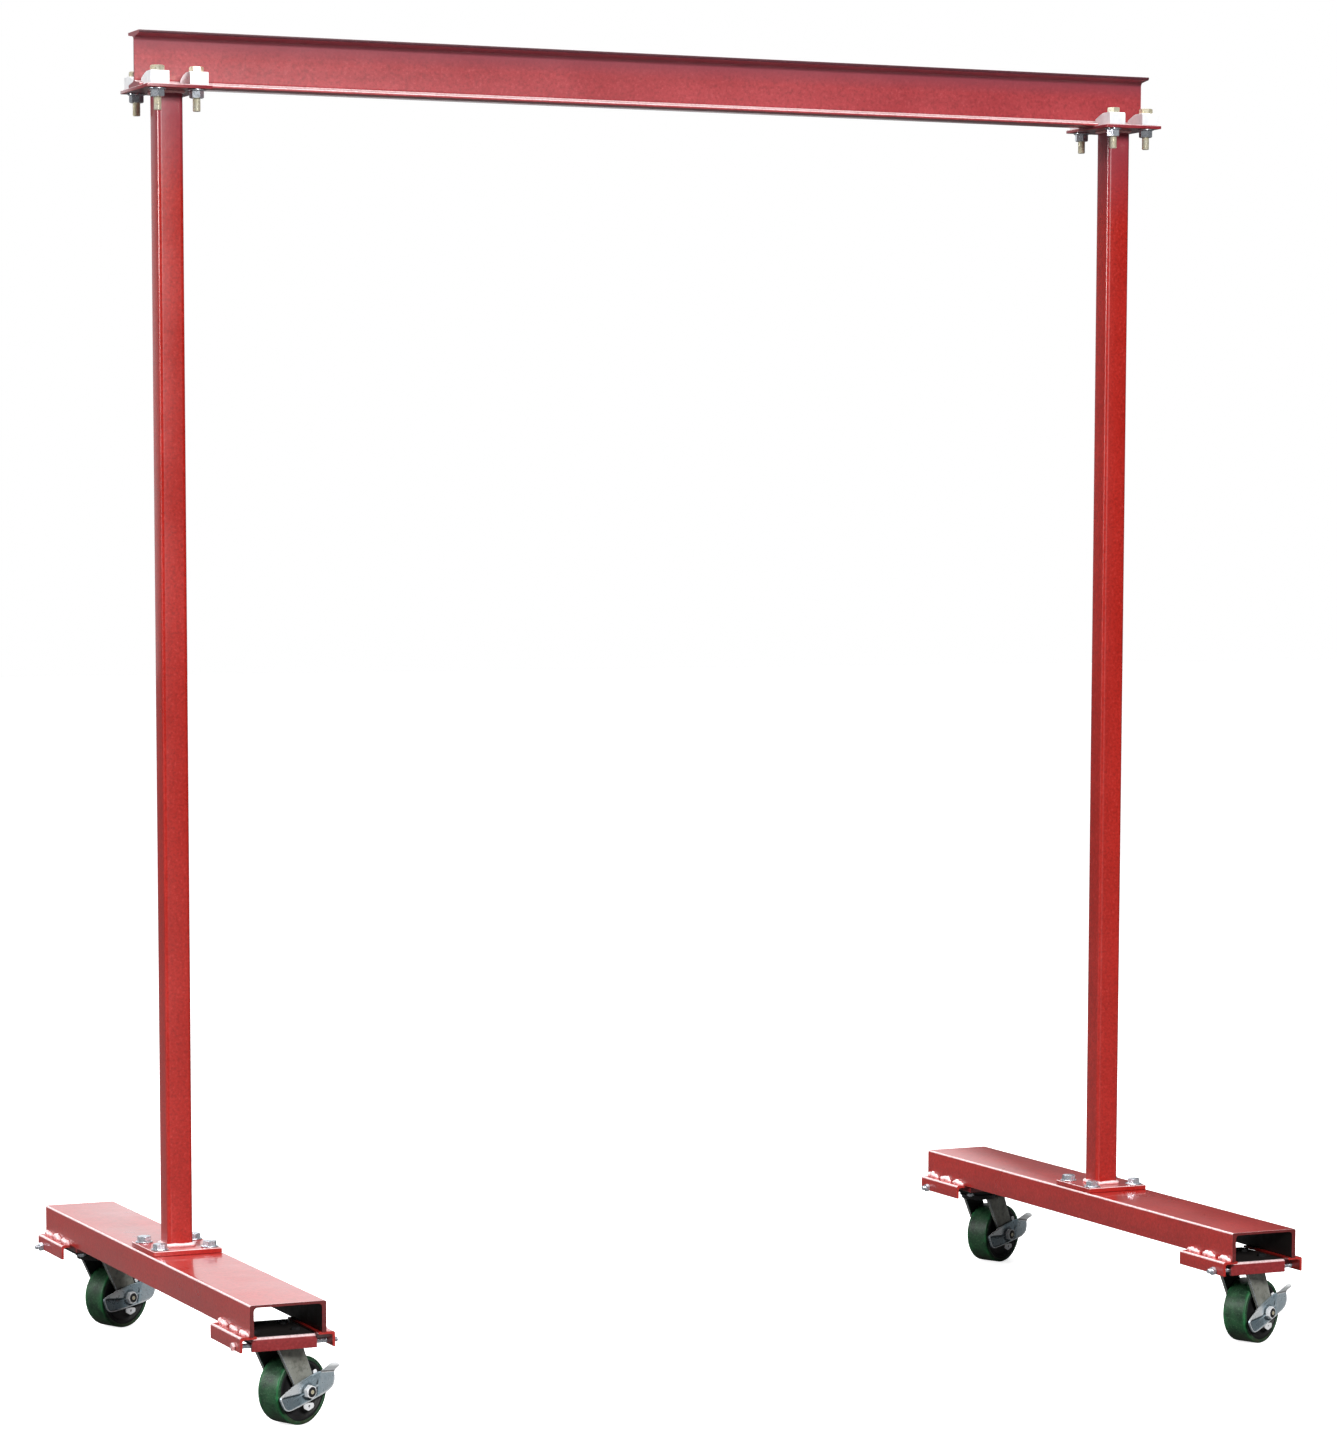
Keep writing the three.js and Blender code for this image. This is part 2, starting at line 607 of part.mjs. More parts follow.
for (const side of SIDES) {
  const frame = new THREE.Group();
  frame.position.x = side.x;
  crane.add(frame);

  addPiece(`post_${side.name}`, postSolid(), redEnamel, frame);
  addPiece(`head_plate_${side.name}`, headPlateSolid(), redEnamel, frame);
  addPiece(`foot_plate_${side.name}`, footPlateSolid(), redEnamel, frame);
  addPiece(`base_channel_${side.name}`, baseSolid(), redEnamel, frame);

  for (const bolt of headBolts) {
    const place = new THREE.Group();
    place.position.x = bolt.x;
    frame.add(place);
    const where = `${side.name}_${bolt.across < 0 ? "front" : "back"}_${bolt.along < 0 ? "a" : "b"}`;
    const clamp = clampBlockSolid();
    addPiece(`clamp_block_${where}`, bolt.across < 0 ? clamp.mirror([0, 1, 0]) : clamp, zinc, place);
    addPiece(`clamp_bolt_${where}`, clampBoltSolid().translate([0, bolt.y, 0]), yellowZinc, place);
  }

  for (const end of ENDS) {
    const corner = `${end.name}_${side.name}`;
    addPiece(`caster_carrier_${corner}`, carrierSolid(end.sign), redEnamel, frame);
    addPiece(`cross_bolt_${corner}`, crossBoltSolid(end.sign, NUT_SIDE[corner]), zinc, frame);

    const caster = new THREE.Group();
    caster.position.set(0, end.sign * CASTER_Y, 0);
    frame.add(caster);
    addPiece(`caster_plate_${corner}`, topPlateSolid(), greyZinc, caster);

    const swivel = new THREE.Group();
    swivel.rotation.z = degrees(HEADING);
    caster.add(swivel);
    addPiece(`caster_fork_${corner}`, forkSolid(), greyZinc, swivel);

    const axle = new THREE.Group();
    axle.position.set(axleAt.x, 0, axleAt.z);
    swivel.add(axle);
    addPiece(`wheel_core_${corner}`, coreSolid(), blackIron, axle);
    addPiece(`wheel_tread_${corner}`, treadSolid(), greenTread, axle);
    addPiece(`axle_bolt_${corner}`, axleSolid(), zinc, axle);

    const lever = new THREE.Group();
    lever.rotation.y = degrees(-LEVER_TILT[corner]);
    axle.add(lever);
    addPiece(`brake_lever_${corner}`, leverSolid(), zinc, lever);
  }
}

export default crane;
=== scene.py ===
import json
import math

import bmesh
import bpy
from mathutils import Matrix, Vector, noise


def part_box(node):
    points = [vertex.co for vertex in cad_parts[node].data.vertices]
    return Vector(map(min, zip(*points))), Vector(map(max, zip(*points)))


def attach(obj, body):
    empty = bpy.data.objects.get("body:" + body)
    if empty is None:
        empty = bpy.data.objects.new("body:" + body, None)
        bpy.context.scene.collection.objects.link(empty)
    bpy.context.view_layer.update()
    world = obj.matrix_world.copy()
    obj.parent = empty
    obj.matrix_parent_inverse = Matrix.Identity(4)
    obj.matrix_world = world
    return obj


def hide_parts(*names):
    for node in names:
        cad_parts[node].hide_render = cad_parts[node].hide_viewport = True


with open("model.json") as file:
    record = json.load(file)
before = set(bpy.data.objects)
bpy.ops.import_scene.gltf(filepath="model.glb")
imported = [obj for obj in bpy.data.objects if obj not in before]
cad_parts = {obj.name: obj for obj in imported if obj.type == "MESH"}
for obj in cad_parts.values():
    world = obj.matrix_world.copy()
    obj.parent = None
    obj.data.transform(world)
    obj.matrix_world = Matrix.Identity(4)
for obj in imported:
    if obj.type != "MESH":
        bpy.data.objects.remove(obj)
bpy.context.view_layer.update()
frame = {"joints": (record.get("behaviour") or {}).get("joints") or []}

# Portable gantry crane: what each piece looks like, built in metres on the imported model.
# Sizes and places come from the frame's boxes and joints. The values below are only finish detail.

MM = 0.001
SIDES = ("left", "right")
ENDS = ("front", "back")
CORNERS = [f"{end}_{side}" for side in SIDES for end in ENDS]
JOINTS = {joint["name"]: joint for joint in frame["joints"]}

WELD_LENGTH = 41 * MM
WELD_SIZE = 11 * MM
RAIL_WELDS = (-0.36, -0.01, 0.34)  # places along a rail from its middle, in rail lengths
POST_CORNER = 8 * MM
TUBE_WALL = 4.8 * MM
CHANNEL_WIDTH = 145 * MM
CHANNEL_HEIGHT = 57.4 * MM
CHANNEL_LEG = 8 * MM
CHANNEL_WEB = 5 * MM
CHANNEL_FILLET = 7 * MM
WORN_EDGE = 3.6 * MM  # the round of the edges where the enamel is thin
RAIL_REACH = 90 * MM  # from the base's middle to a rail's outer face
RAIL_WIDTH = 31.8 * MM
RAIL_DROP = 28 * MM
RAIL_THICK = 4.8 * MM
RAIL_LENGTH = 165 * MM
RAIL_INSET = 3 * MM  # from the channel's end

# fasteners: their radii, the holes for them, and their heads across the flats
HEAVY_R = 7.9 * MM
CLAMP_HOLE = 8.6 * MM
FOOT_HOLE = 8.4 * MM
AXLE_HOLE = 8.3 * MM
LIGHT_R = 4.7 * MM
LIGHT_HOLE = 5.2 * MM
LIGHT_PITCH = 1.5 * MM
LIGHT_FLATS = 14.3 * MM
THREAD_R = 7.4 * MM
THREAD_PITCH = 2.3 * MM
HEAVY_FLATS = 23.8 * MM
AXLE_FLATS = 22.2 * MM
FOOT_BOLT_SPACING = 99 * MM
FOOT_BOLT_HEAD = 10 * MM
FOOT_WASHER_R = 17 * MM
FOOT_WASHER = 2.6 * MM
PLATE_BOLTS = (38 * MM, 33 * MM)  # from the swivel axis, along X and Y


def in_mm(*points):
    """Points given in millimetres, in metres."""
    return [tuple(value * MM for value in point) for point in points]


def middle_of(node):
    low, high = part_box(node)
    return (low + high) / 2


# ---- Outlines ----


def rounded(corners, steps=5):
    """An outline's corners (x, y, radius) as points, with each corner turned into an arc."""
    points = []
    for i, (x, y, r) in enumerate(corners):
        corner = Vector((x, y))
        if r == 0:
            points.append(corner)
            continue
        before = (Vector(corners[i - 1][:2]) - corner).normalized()
        after = (Vector(corners[(i + 1) % len(corners)][:2]) - corner).normalized()
        half = before.angle(after) / 2
        centre = corner + (before + after).normalized() * (r / math.sin(half))
        first = corner + before * (r / math.tan(half)) - centre
        last = corner + after * (r / math.tan(half)) - centre
        start = math.atan2(first.y, first.x)
        sweep = math.atan2(last.y, last.x) - start
        sweep = (sweep + math.pi) % (2 * math.pi) - math.pi
        for k in range(steps + 1):
            angle = start + sweep * k / steps
            points.append(centre + Vector((math.cos(angle), math.sin(angle))) * r)
    return points


def rectangle(width, height, r, steps=5):
    x, y = width / 2, height / 2
    return rounded([(x, -y, r), (x, y, r), (-x, y, r), (-x, -y, r)], steps)


def bezier(a, b, c, d, steps):
    """Points on a cubic curve from a up to, but not including, d."""
    points = []
    for k in range(steps):
        t = k / steps
        s = 1 - t
        points.append(
            Vector(a) * s**3 + Vector(b) * (3 * s * s * t) + Vector(c) * (3 * s * t * t) + Vector(d) * t**3
        )
    return points


def smooth(low, high, value):
    t = min(1.0, max(0.0, (value - low) / (high - low)))
    return t * t * (3 - 2 * t)


# ---- Mesh building ----

AXES = {
    "x": lambda u, v, w: Vector((w, u, v)),
    "y": lambda u, v, w: Vector((u, w, v)),
    "z": lambda u, v, w: Vector((u, v, w)),
}


def loft(bm, rings, loop=False):
    """A skin over rings of points, all of one count, closed at its ends or joined end to end."""
    rows = [[bm.verts.new(point) for point in ring] for ring in rings]
    pairs = list(zip(rows, rows[1:]))
    if loop:
        pairs.append((rows[-1], rows[0]))
    count = len(rows[0])
    for one, two in pairs:
        for i in range(count):
            j = (i + 1) % count
            bm.faces.new((one[i], one[j], two[j], two[i]))
    if not loop:
        bm.faces.new(rows[0])
        bm.faces.new(rows[-1])


def prism(bm, outline, low, high, axis):
    """An outline extruded along an axis."""
    turn = AXES[axis]
    loft(bm, [[turn(p[0], p[1], w) for p in outline] for w in (low, high)])


def tube(bm, outer, inner, low, high):
    """An upright hollow bar: two outlines of one count, between two levels."""
    rings = [(outer, low), (outer, high), (inner, high), (inner, low)]
    loft(bm, [[Vector((*p, z)) for p in outline] for outline, z in rings], loop=True)


def lathe(bm, profile, axis, centre=(0, 0), sides=64, loop=False):
    """A profile of (radius, along) turned about an axis through a centre in its cross plane."""
    turn = AXES[axis]
    rings = []
    for r, along in profile:
        ring = []
        for k in range(sides):
            angle = 2 * math.pi * k / sides
            ring.append(turn(centre[0] + r * math.cos(angle), centre[1] + r * math.sin(angle), along))
        rings.append(ring)
    loft(bm, rings, loop)


def hexagon(bm, flats, low, high, axis, centre=(0, 0), chamfers="both", twist=0.0):
    """A hexagonal head or nut, with conical chamfers at one end or both."""
    turn = AXES[axis]
    sides = 48
    cone = 0.485 * flats  # the radius at which a chamfer meets the flat end

    def ring(level, inward):
        points = []
        for k in range(sides):
            angle = 2 * math.pi * k / sides
            off = (angle + math.pi / 6) % (math.pi / 3) - math.pi / 6
            full = flats / 2 / math.cos(off)
            if inward == 0:
                r, w = full, level
            elif inward > 0:
                r, w = min(full, cone), level
            else:
                r, w = full, level - math.copysign(max(0.0, full - cone) * 0.6, level - middle)
            u = centre[0] + r * math.cos(angle + twist)
            v = centre[1] + r * math.sin(angle + twist)
            points.append(turn(u, v, w))
        return points

    middle = (low + high) / 2
    foot = [ring(low, 1), ring(low, -1)] if chamfers in ("both", "low") else [ring(low, 0)]
    top = [ring(high, -1), ring(high, 1)] if chamfers in ("both", "high") else [ring(high, 0)]
    loft(bm, foot + top)


def washer(bm, r, bore, low, high, axis, centre=(0, 0)):
    edge = 0.3 * (high - low)
    profile = [
        (bore, low), (r - edge, low), (r, low + edge), (r, high - edge), (r - edge, high), (bore, high),
    ]
    lathe(bm, profile, axis, centre, 48, loop=True)


def screw(bm, r, low, high, axis, centre, end, pitch=THREAD_PITCH):
    """A threaded shank with a chamfer at its low or its high end."""
    turn = AXES[axis]
    sides = 24
    depth = 0.3 * pitch
    chamfer = 1.2 * MM
    count = max(6, int(5 * (high - low) / pitch))
    rings = []
    for i in range(count + 1):
        w = low + (high - low) * i / count
        from_end = w - low if end == "low" else high - w
        ring = []
        for k in range(sides):
            angle = 2 * math.pi * k / sides
            phase = (w / pitch - k / sides) % 1
            tooth = r - depth * (1 - abs(2 * phase - 1))
            tooth = min(tooth, r - chamfer + from_end)
            ring.append(turn(centre[0] + tooth * math.cos(angle), centre[1] + tooth * math.sin(angle), w))
        rings.append(ring)
    loft(bm, rings)


def combined(first, second, operation):
    """Two closed meshes joined or cut exactly, as a new bmesh. Both are used up."""
    objects = []
    for bm in (first, second):
        bmesh.ops.recalc_face_normals(bm, faces=bm.faces)
        mesh = bpy.data.meshes.new("tool")
        bm.to_mesh(mesh)
        bm.free()
        obj = bpy.data.objects.new("tool", mesh)
        bpy.context.scene.collection.objects.link(obj)
        objects.append(obj)
    modifier = objects[0].modifiers.new("cut", "BOOLEAN")
    modifier.operation = operation
    modifier.solver = "EXACT"
    modifier.object = objects[1]
    bpy.context.view_layer.update()
    evaluated = objects[0].evaluated_get(bpy.context.evaluated_depsgraph_get())
    result = bmesh.new()
    result.from_mesh(evaluated.to_mesh())
    evaluated.to_mesh_clear()
    for obj in objects:
        mesh = obj.data
        bpy.data.objects.remove(obj)
        bpy.data.meshes.remove(mesh)
    return result


def drilled(bm, holes, low, high, axis, sides=32):
    """bm with round holes (u, v, radius) through it between two levels."""
    tools = bmesh.new()
    for u, v, r in holes:
        lathe(tools, [(r, low), (r, high)], axis, (u, v), sides)
    return combined(bm, tools, "DIFFERENCE")


def piece(name, bm, body, materials, nodes=(), place=None, bevel=0.0, edge=-1, sharp=32, masks=()):
    """Makes bm an object that rides on a body, with its place baked into its points.

    masks are (name, function of a point in bm's own axes), kept on the mesh as attributes. edge is the
    material index of the bevelled edges.
    """
    bmesh.ops.remove_doubles(bm, verts=bm.verts, dist=1e-6)
    bmesh.ops.recalc_face_normals(bm, faces=bm.faces)
    values = [(mask, [function(v.co) for v in bm.verts]) for mask, function in masks]
    if place is not None:
        bm.transform(place)
    mesh = bpy.data.meshes.new(name)
    bm.to_mesh(mesh)
    bm.free()
    for mask, numbers in values:
        mesh.attributes.new(mask, "FLOAT", "POINT").data.foreach_set("value", numbers)
    for material in materials:
        mesh.materials.append(material)
    obj = bpy.data.objects.new(name, mesh)
    bpy.context.scene.collection.objects.link(obj)
    mesh.polygons.foreach_set("use_smooth", [True] * len(mesh.polygons))
    if bevel > 0:
        modifier = obj.modifiers.new("edges", "BEVEL")
        modifier.width = bevel
        modifier.segments = 3
        modifier.limit_method = "ANGLE"
        modifier.angle_limit = math.radians(40)
        modifier.harden_normals = True
        modifier.material = edge
    else:
        mesh.set_sharp_from_angle(angle=math.radians(sharp))
    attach(obj, body)
    if nodes:
        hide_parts(*nodes)
    return obj


def paint_faces(bm, first, index):
    """Gives the faces made since `first` a material index."""
    bm.faces.ensure_lookup_table()
    for face in bm.faces[first:]:
        face.material_index = index


def paint_where(bm, test, index):
    """Gives the faces whose (middle, outward normal) pass a test a material index."""
    bmesh.ops.recalc_face_normals(bm, faces=bm.faces)
    for face in bm.faces:
        if test(face.calc_center_median(), face.normal):
            face.material_index = index


# ---- Materials ----


class Finish:
    """A Principled material with short calls for the nodes that feed it."""

    def __init__(self, name, metallic=0.0, coat=0.0, coat_roughness=0.05, ior=1.5):
        self.material = bpy.data.materials.new(name)
        self.material.use_nodes = True
        self.nodes = self.material.node_tree.nodes
        self.links = self.material.node_tree.links
        self.shader = self.nodes["Principled BSDF"]
        self.shader.inputs["Metallic"].default_value = metallic
        self.shader.inputs["Coat Weight"].default_value = coat
        self.shader.inputs["Coat Roughness"].default_value = coat_roughness
        self.shader.inputs["IOR"].default_value = ior
        self.place = self.nodes.new("ShaderNodeTexCoord").outputs["Object"]

    def feed(self, socket, value):
        if isinstance(value, bpy.types.NodeSocket):
            self.links.new(value, socket)
        elif value is not None:
            socket.default_value = value

    def noise(self, scale, detail=4.0, roughness=0.55, stretch=(1, 1, 1), offset=0.0):
        mapping = self.nodes.new("ShaderNodeMapping")
        mapping.inputs["Scale"].default_value = stretch
        mapping.inputs["Location"].default_value = (offset, offset * 0.7, -offset)
        self.links.new(self.place, mapping.inputs["Vector"])
        texture = self.nodes.new("ShaderNodeTexNoise")
        texture.inputs["Scale"].default_value = scale
        texture.inputs["Detail"].default_value = detail
        texture.inputs["Roughness"].default_value = roughness
        self.links.new(mapping.outputs[0], texture.inputs["Vector"])
        return texture.outputs["Fac"]

    def mask(self, name):
        attribute = self.nodes.new("ShaderNodeAttribute")
        attribute.attribute_name = name
        return attribute.outputs["Fac"]

    def level(self, value, low, high, to_low=0.0, to_high=1.0):
        spread = self.nodes.new("ShaderNodeMapRange")
        self.feed(spread.inputs["Value"], value)
        spread.inputs["From Min"].default_value = low
        spread.inputs["From Max"].default_value = high
        spread.inputs["To Min"].default_value = to_low
        spread.inputs["To Max"].default_value = to_high
        return spread.outputs["Result"]

    def sum(self, a, b, operation="ADD"):
        node = self.nodes.new("ShaderNodeMath")
        node.operation = operation
        self.feed(node.inputs[0], a)
        self.feed(node.inputs[1], b)
        return node.outputs[0]

    def mix(self, share, a, b):
        node = self.nodes.new("ShaderNodeMix")
        node.data_type = "RGBA"
        self.feed(node.inputs["Factor"], share)
        self.feed(node.inputs["A"], (*a, 1) if isinstance(a, tuple) else a)
        self.feed(node.inputs["B"], (*b, 1) if isinstance(b, tuple) else b)
        return node.outputs["Result"]

    def edges(self, radius):
        """1 where the surface turns sharply within a radius, and 0 on the flat."""
        bevel = self.nodes.new("ShaderNodeBevel")
        bevel.samples = 4
        bevel.inputs["Radius"].default_value = radius
        geometry = self.nodes.new("ShaderNodeNewGeometry")
        dot = self.nodes.new("ShaderNodeVectorMath")
        dot.operation = "DOT_PRODUCT"
        self.links.new(bevel.outputs["Normal"], dot.inputs[0])
        self.links.new(geometry.outputs["Normal"], dot.inputs[1])
        return self.level(dot.outputs["Value"], 0.98, 0.75)

    def up(self):
        """1 where the surface faces straight up."""
        geometry = self.nodes.new("ShaderNodeNewGeometry")
        parts = self.nodes.new("ShaderNodeSeparateXYZ")
        self.links.new(geometry.outputs["Normal"], parts.inputs[0])
        return parts.outputs["Z"]

    def height(self):
        parts = self.nodes.new("ShaderNodeSeparateXYZ")
        self.links.new(self.place, parts.inputs[0])
        return parts.outputs["Z"]

    def bump(self, *layers):
        """Bump from (height, depth in metres) layers, one on the other."""
        normal = None
        for value, depth in layers:
            node = self.nodes.new("ShaderNodeBump")
            node.inputs["Strength"].default_value = 1.0
            node.inputs["Distance"].default_value = depth
            self.links.new(value, node.inputs["Height"])
            if normal is not None:
                self.links.new(normal, node.inputs["Normal"])
            normal = node.outputs["Normal"]
        self.links.new(normal, self.shader.inputs["Normal"])

    def done(self, color, roughness):
        self.feed(self.shader.inputs["Base Color"], color)
        self.feed(self.shader.inputs["Roughness"], roughness)
        return self.material


def red_enamel(name, color, streak, dull=0.0, shade_from=None, shade_over=0.18, highlight=0.0):
    """Gloss enamel over mill scale, with slight runs along one axis and orange peel.

    shade_from is a height above which painted shade turns the colour towards purple, over the next
    shade_over. The last argument is how much painted highlight makes the enamel pale pink where it
    faces up, for edges and welds.
    """
    finish = Finish(name, coat=0.55 - dull, coat_roughness=0.06 + dull * 0.4)
    red = Vector(color)
    cloud = finish.noise(5, 3)
    runs = finish.noise(60, 4, 0.6, streak)
    fine = finish.noise(190, 4, 0.65)
    base = finish.mix(finish.level(cloud, 0.35, 0.65), tuple(red * 0.93), tuple(red * 1.08))
    base = finish.mix(finish.level(runs, 0.42, 0.72, 0, 0.35), base, tuple(red * 0.72))
    base = finish.mix(finish.level(fine, 0.36, 0.50, 0.6, 0), base, tuple(red * 0.55))
    pinker = tuple(red * 1.3 + Vector((0, 0.03, 0.03)))
    base = finish.mix(finish.level(fine, 0.56, 0.70, 0, 0.6), base, pinker)
    # painted shade: the colour turns towards purple above shade_from
    if shade_from is not None:
        painted_shade = finish.level(finish.height(), shade_from, shade_from + shade_over, 0, 0.85)
        base = finish.mix(painted_shade, base, (red.x * 0.62, red.x * 0.11, red.x * 0.16))
    # painted highlight: pale pink, in patches, where the enamel faces up
    if highlight > 0:
        patchy = finish.level(fine, 0.35, 0.55, 0.7, 1.0)
        painted_highlight = finish.sum(finish.level(finish.up(), 0.0, 0.4), patchy, "MULTIPLY")
        base = finish.mix(finish.sum(painted_highlight, highlight, "MULTIPLY"), base, HIGHLIGHT_PINK)
    finish.bump((finish.noise(420, 2), 0.00005), (runs, 0.00012), (finish.noise(34, 2), 0.0003))
    return finish.done(base, finish.level(cloud, 0.3, 0.7, 0.26 + dull, 0.36 + dull))


def plated(name, color, metallic, roughness=0.3, mottle=0.35, dark=0.55, wear_and_highlight=0.3, tint=None):
    """Electroplated steel: cloudy, with dull spots, fine scratches, and painted shade from the shade mask.

    One argument sets how bright its edges are: rubbed plating, and partly painted highlight. The bright mask
    adds painted highlight.
    """
    finish = Finish(name, metallic=metallic)
    bright = Vector(color)
    cloud = finish.noise(38, 5, 0.6)
    blots = finish.noise(120, 4, 0.6, offset=3.0)
    lines = finish.noise(500, 2, 0.5, (1, 1, 0.2))
    base = finish.mix(finish.level(cloud, 0.3, 0.7), tuple(bright), tuple(Vector(tint or color) * 0.85))
    base = finish.mix(finish.level(blots, 0.50, 0.68, 0, mottle), base, tuple(bright * dark))
    # edges lightened: rubbed plating, and partly painted highlight
    if wear_and_highlight > 0:
        base = finish.mix(finish.sum(finish.edges(1.2 * MM), wear_and_highlight, "MULTIPLY"), base, (0.95, 0.96, 0.96))
    # painted highlight from the bright mask, then painted shade from the shade mask
    base = finish.mix(finish.mask("bright"), base, (0.93, 0.95, 0.96))
    shade = finish.sum(finish.mask("shade"), 0.92, "MULTIPLY")
    base = finish.mix(shade, base, tuple(bright * 0.10))
    finish.bump((lines, 0.00004), (blots, 0.0001))
    return finish.done(base, finish.level(blots, 0.3, 0.75, roughness - 0.06, roughness + 0.16))


def painted_shade_steel(name, color):
    """Painted shade for the insides that the enamel and the plating don't brighten: near black and dull, with
    lighter specks.
    """
    finish = Finish(name, metallic=0.2)
    dirt = finish.noise(55, 5, 0.65)
    fine = finish.noise(240, 4, 0.6)
    shade = Vector(color)
    base = finish.mix(finish.level(dirt, 0.35, 0.7), tuple(shade * 0.7), tuple(shade * 1.5))
    base = finish.mix(finish.level(fine, 0.58, 0.72, 0, 0.5), base, tuple(shade * 2.4))
    finish.bump((dirt, 0.0002), (fine, 0.0001))
    return finish.done(base, finish.level(dirt, 0.3, 0.7, 0.5, 0.75))


def green_tread():
    """Moulded polyurethane: mottled dark green, scuffed pale in specks, with a painted highlight of brighter
    green along its moulded edge.
    """
    finish = Finish("green_polyurethane", ior=1.40)
    cloud = finish.noise(34, 5, 0.65)
    fine = finish.noise(260, 5, 0.75)
    base = finish.mix(finish.level(cloud, 0.38, 0.62), (0.006, 0.026, 0.012), (0.020, 0.080, 0.032))
    base = finish.mix(finish.level(fine, 0.52, 0.66, 0, 0.8), base, (0.075, 0.155, 0.085))
    # painted highlight: brighter green along the tread's rounded edge
    edge = finish.sum(finish.mask("edge"), finish.level(cloud, 0.38, 0.6, 0.15, 1.0), "MULTIPLY")
    base = finish.mix(edge, base, (0.016, 0.17, 0.05))
    low = finish.level(finish.height(), 0.030, 0.0)
    dirt = finish.sum(low, finish.level(finish.noise(70, 4), 0.35, 0.6), "MULTIPLY")
    base = finish.mix(finish.sum(dirt, 0.8, "MULTIPLY"), base, (0.05, 0.038, 0.024))
    finish.bump((fine, 0.00025), (cloud, 0.0006))
    return finish.done(base, finish.level(fine, 0.3, 0.7, 0.34, 0.56))


def black_iron():
    """Painted grey-iron casting: near black, sandy, with a little dust on what faces up."""
    finish = Finish("black_casting", ior=1.45)
    sand = finish.noise(260, 4, 0.6)
    cloud = finish.noise(30, 4)
    base = finish.mix(finish.level(cloud, 0.35, 0.7), (0.005, 0.005, 0.0055), (0.012, 0.012, 0.013))
    base = finish.mix(finish.level(sand, 0.62, 0.78, 0, 0.6), base, (0.04, 0.038, 0.034))
    base = finish.mix(finish.level(finish.up(), 0.5, 1.0, 0, 0.25), base, (0.05, 0.046, 0.04))
    finish.bump((sand, 0.0003), (cloud, 0.0004))
    return finish.done(base, finish.level(cloud, 0.3, 0.7, 0.5, 0.68))


# painted highlight: the pale pink that edges and welds turn to where they face up
HIGHLIGHT_PINK = (0.97, 0.74, 0.75)
base_red = red_enamel("red_enamel_base", (0.43, 0.017, 0.012), (1, 0.06, 1))
# the posts and the beam take painted shade, towards purple near their tops
post_red = red_enamel("red_enamel_post", (0.42, 0.015, 0.009), (1, 1, 0.03), shade_from=2.24)
beam_red = red_enamel(
    "red_enamel_beam", (0.38, 0.038, 0.045), (0.05, 1, 1), dull=0.08, shade_from=2.495, shade_over=0.03
)
# painted shade: a darker copy of the enamel, for the head plates and the beam's ends
shaded_plate_red = red_enamel("red_enamel_plate_shaded", (0.26, 0.022, 0.034), (1, 1, 1))
# painted shade: a darker copy of the base enamel, for the carriers under the channel
shaded_carrier_red = red_enamel("red_enamel_carrier_shaded", (0.27, 0.018, 0.020), (1, 1, 1))
# painted shadow: a dark copy of the enamel, for the beam's top flange edges
shadow_red = red_enamel("red_enamel_shadow", (0.085, 0.012, 0.022), (0.05, 1, 1), dull=0.15)
# darker enamel for the channel's end faces
dark_end_red = red_enamel("red_enamel_dark_ends", (0.13, 0.007, 0.007), (1, 1, 1), dull=0.1)
# painted highlight: enamel turning pale pink where it faces up, for rounded edges and upturned faces
highlight_red = red_enamel("red_enamel_highlight", (0.40, 0.03, 0.03), (1, 1, 1), highlight=1.0)
# the welds: paler enamel, partly thin paint and partly painted highlight, pinker where they face up
weld_red = red_enamel("red_enamel_weld", (0.80, 0.36, 0.36), (1, 1, 1), highlight=1.0)
# painted shade: near-black stand-ins for shaded insides, forks' inner faces, caster plates and stop arms
painted_shade_inside = painted_shade_steel("shade_inside_dark", (0.018, 0.014, 0.013))
painted_shade_grey = painted_shade_steel("shade_grey_dark", (0.020, 0.022, 0.018))
clamp_zinc = plated("clamp_zinc", (0.93, 0.94, 0.96), 0.12, roughness=0.36, mottle=0.2, dark=0.7)
zinc = plated("bright_zinc", (0.62, 0.66, 0.72), 0.75, roughness=0.24, mottle=0.5, dark=0.2)
lever_zinc = plated(
    "pressed_zinc", (0.26, 0.36, 0.42), 0.5, roughness=0.28, mottle=0.5, dark=0.45, tint=(0.42, 0.51, 0.56)
)
fork_zinc = plated(
    "dull_zinc", (0.37, 0.38, 0.34), 0.30, roughness=0.40, mottle=0.7, dark=0.35, tint=(0.25, 0.25, 0.21)
)
dark_zinc = plated("race_steel", (0.03, 0.03, 0.032), 0.5, roughness=0.42, mottle=0.4, wear_and_highlight=0)
yellow_zinc = plated(
    "yellow_zinc", (0.78, 0.68, 0.42), 0.5, roughness=0.28, mottle=0.4, dark=0.45, tint=(0.80, 0.78, 0.66)
)
tread_green = green_tread()
core_black = black_iron()


# ---- Beam ----


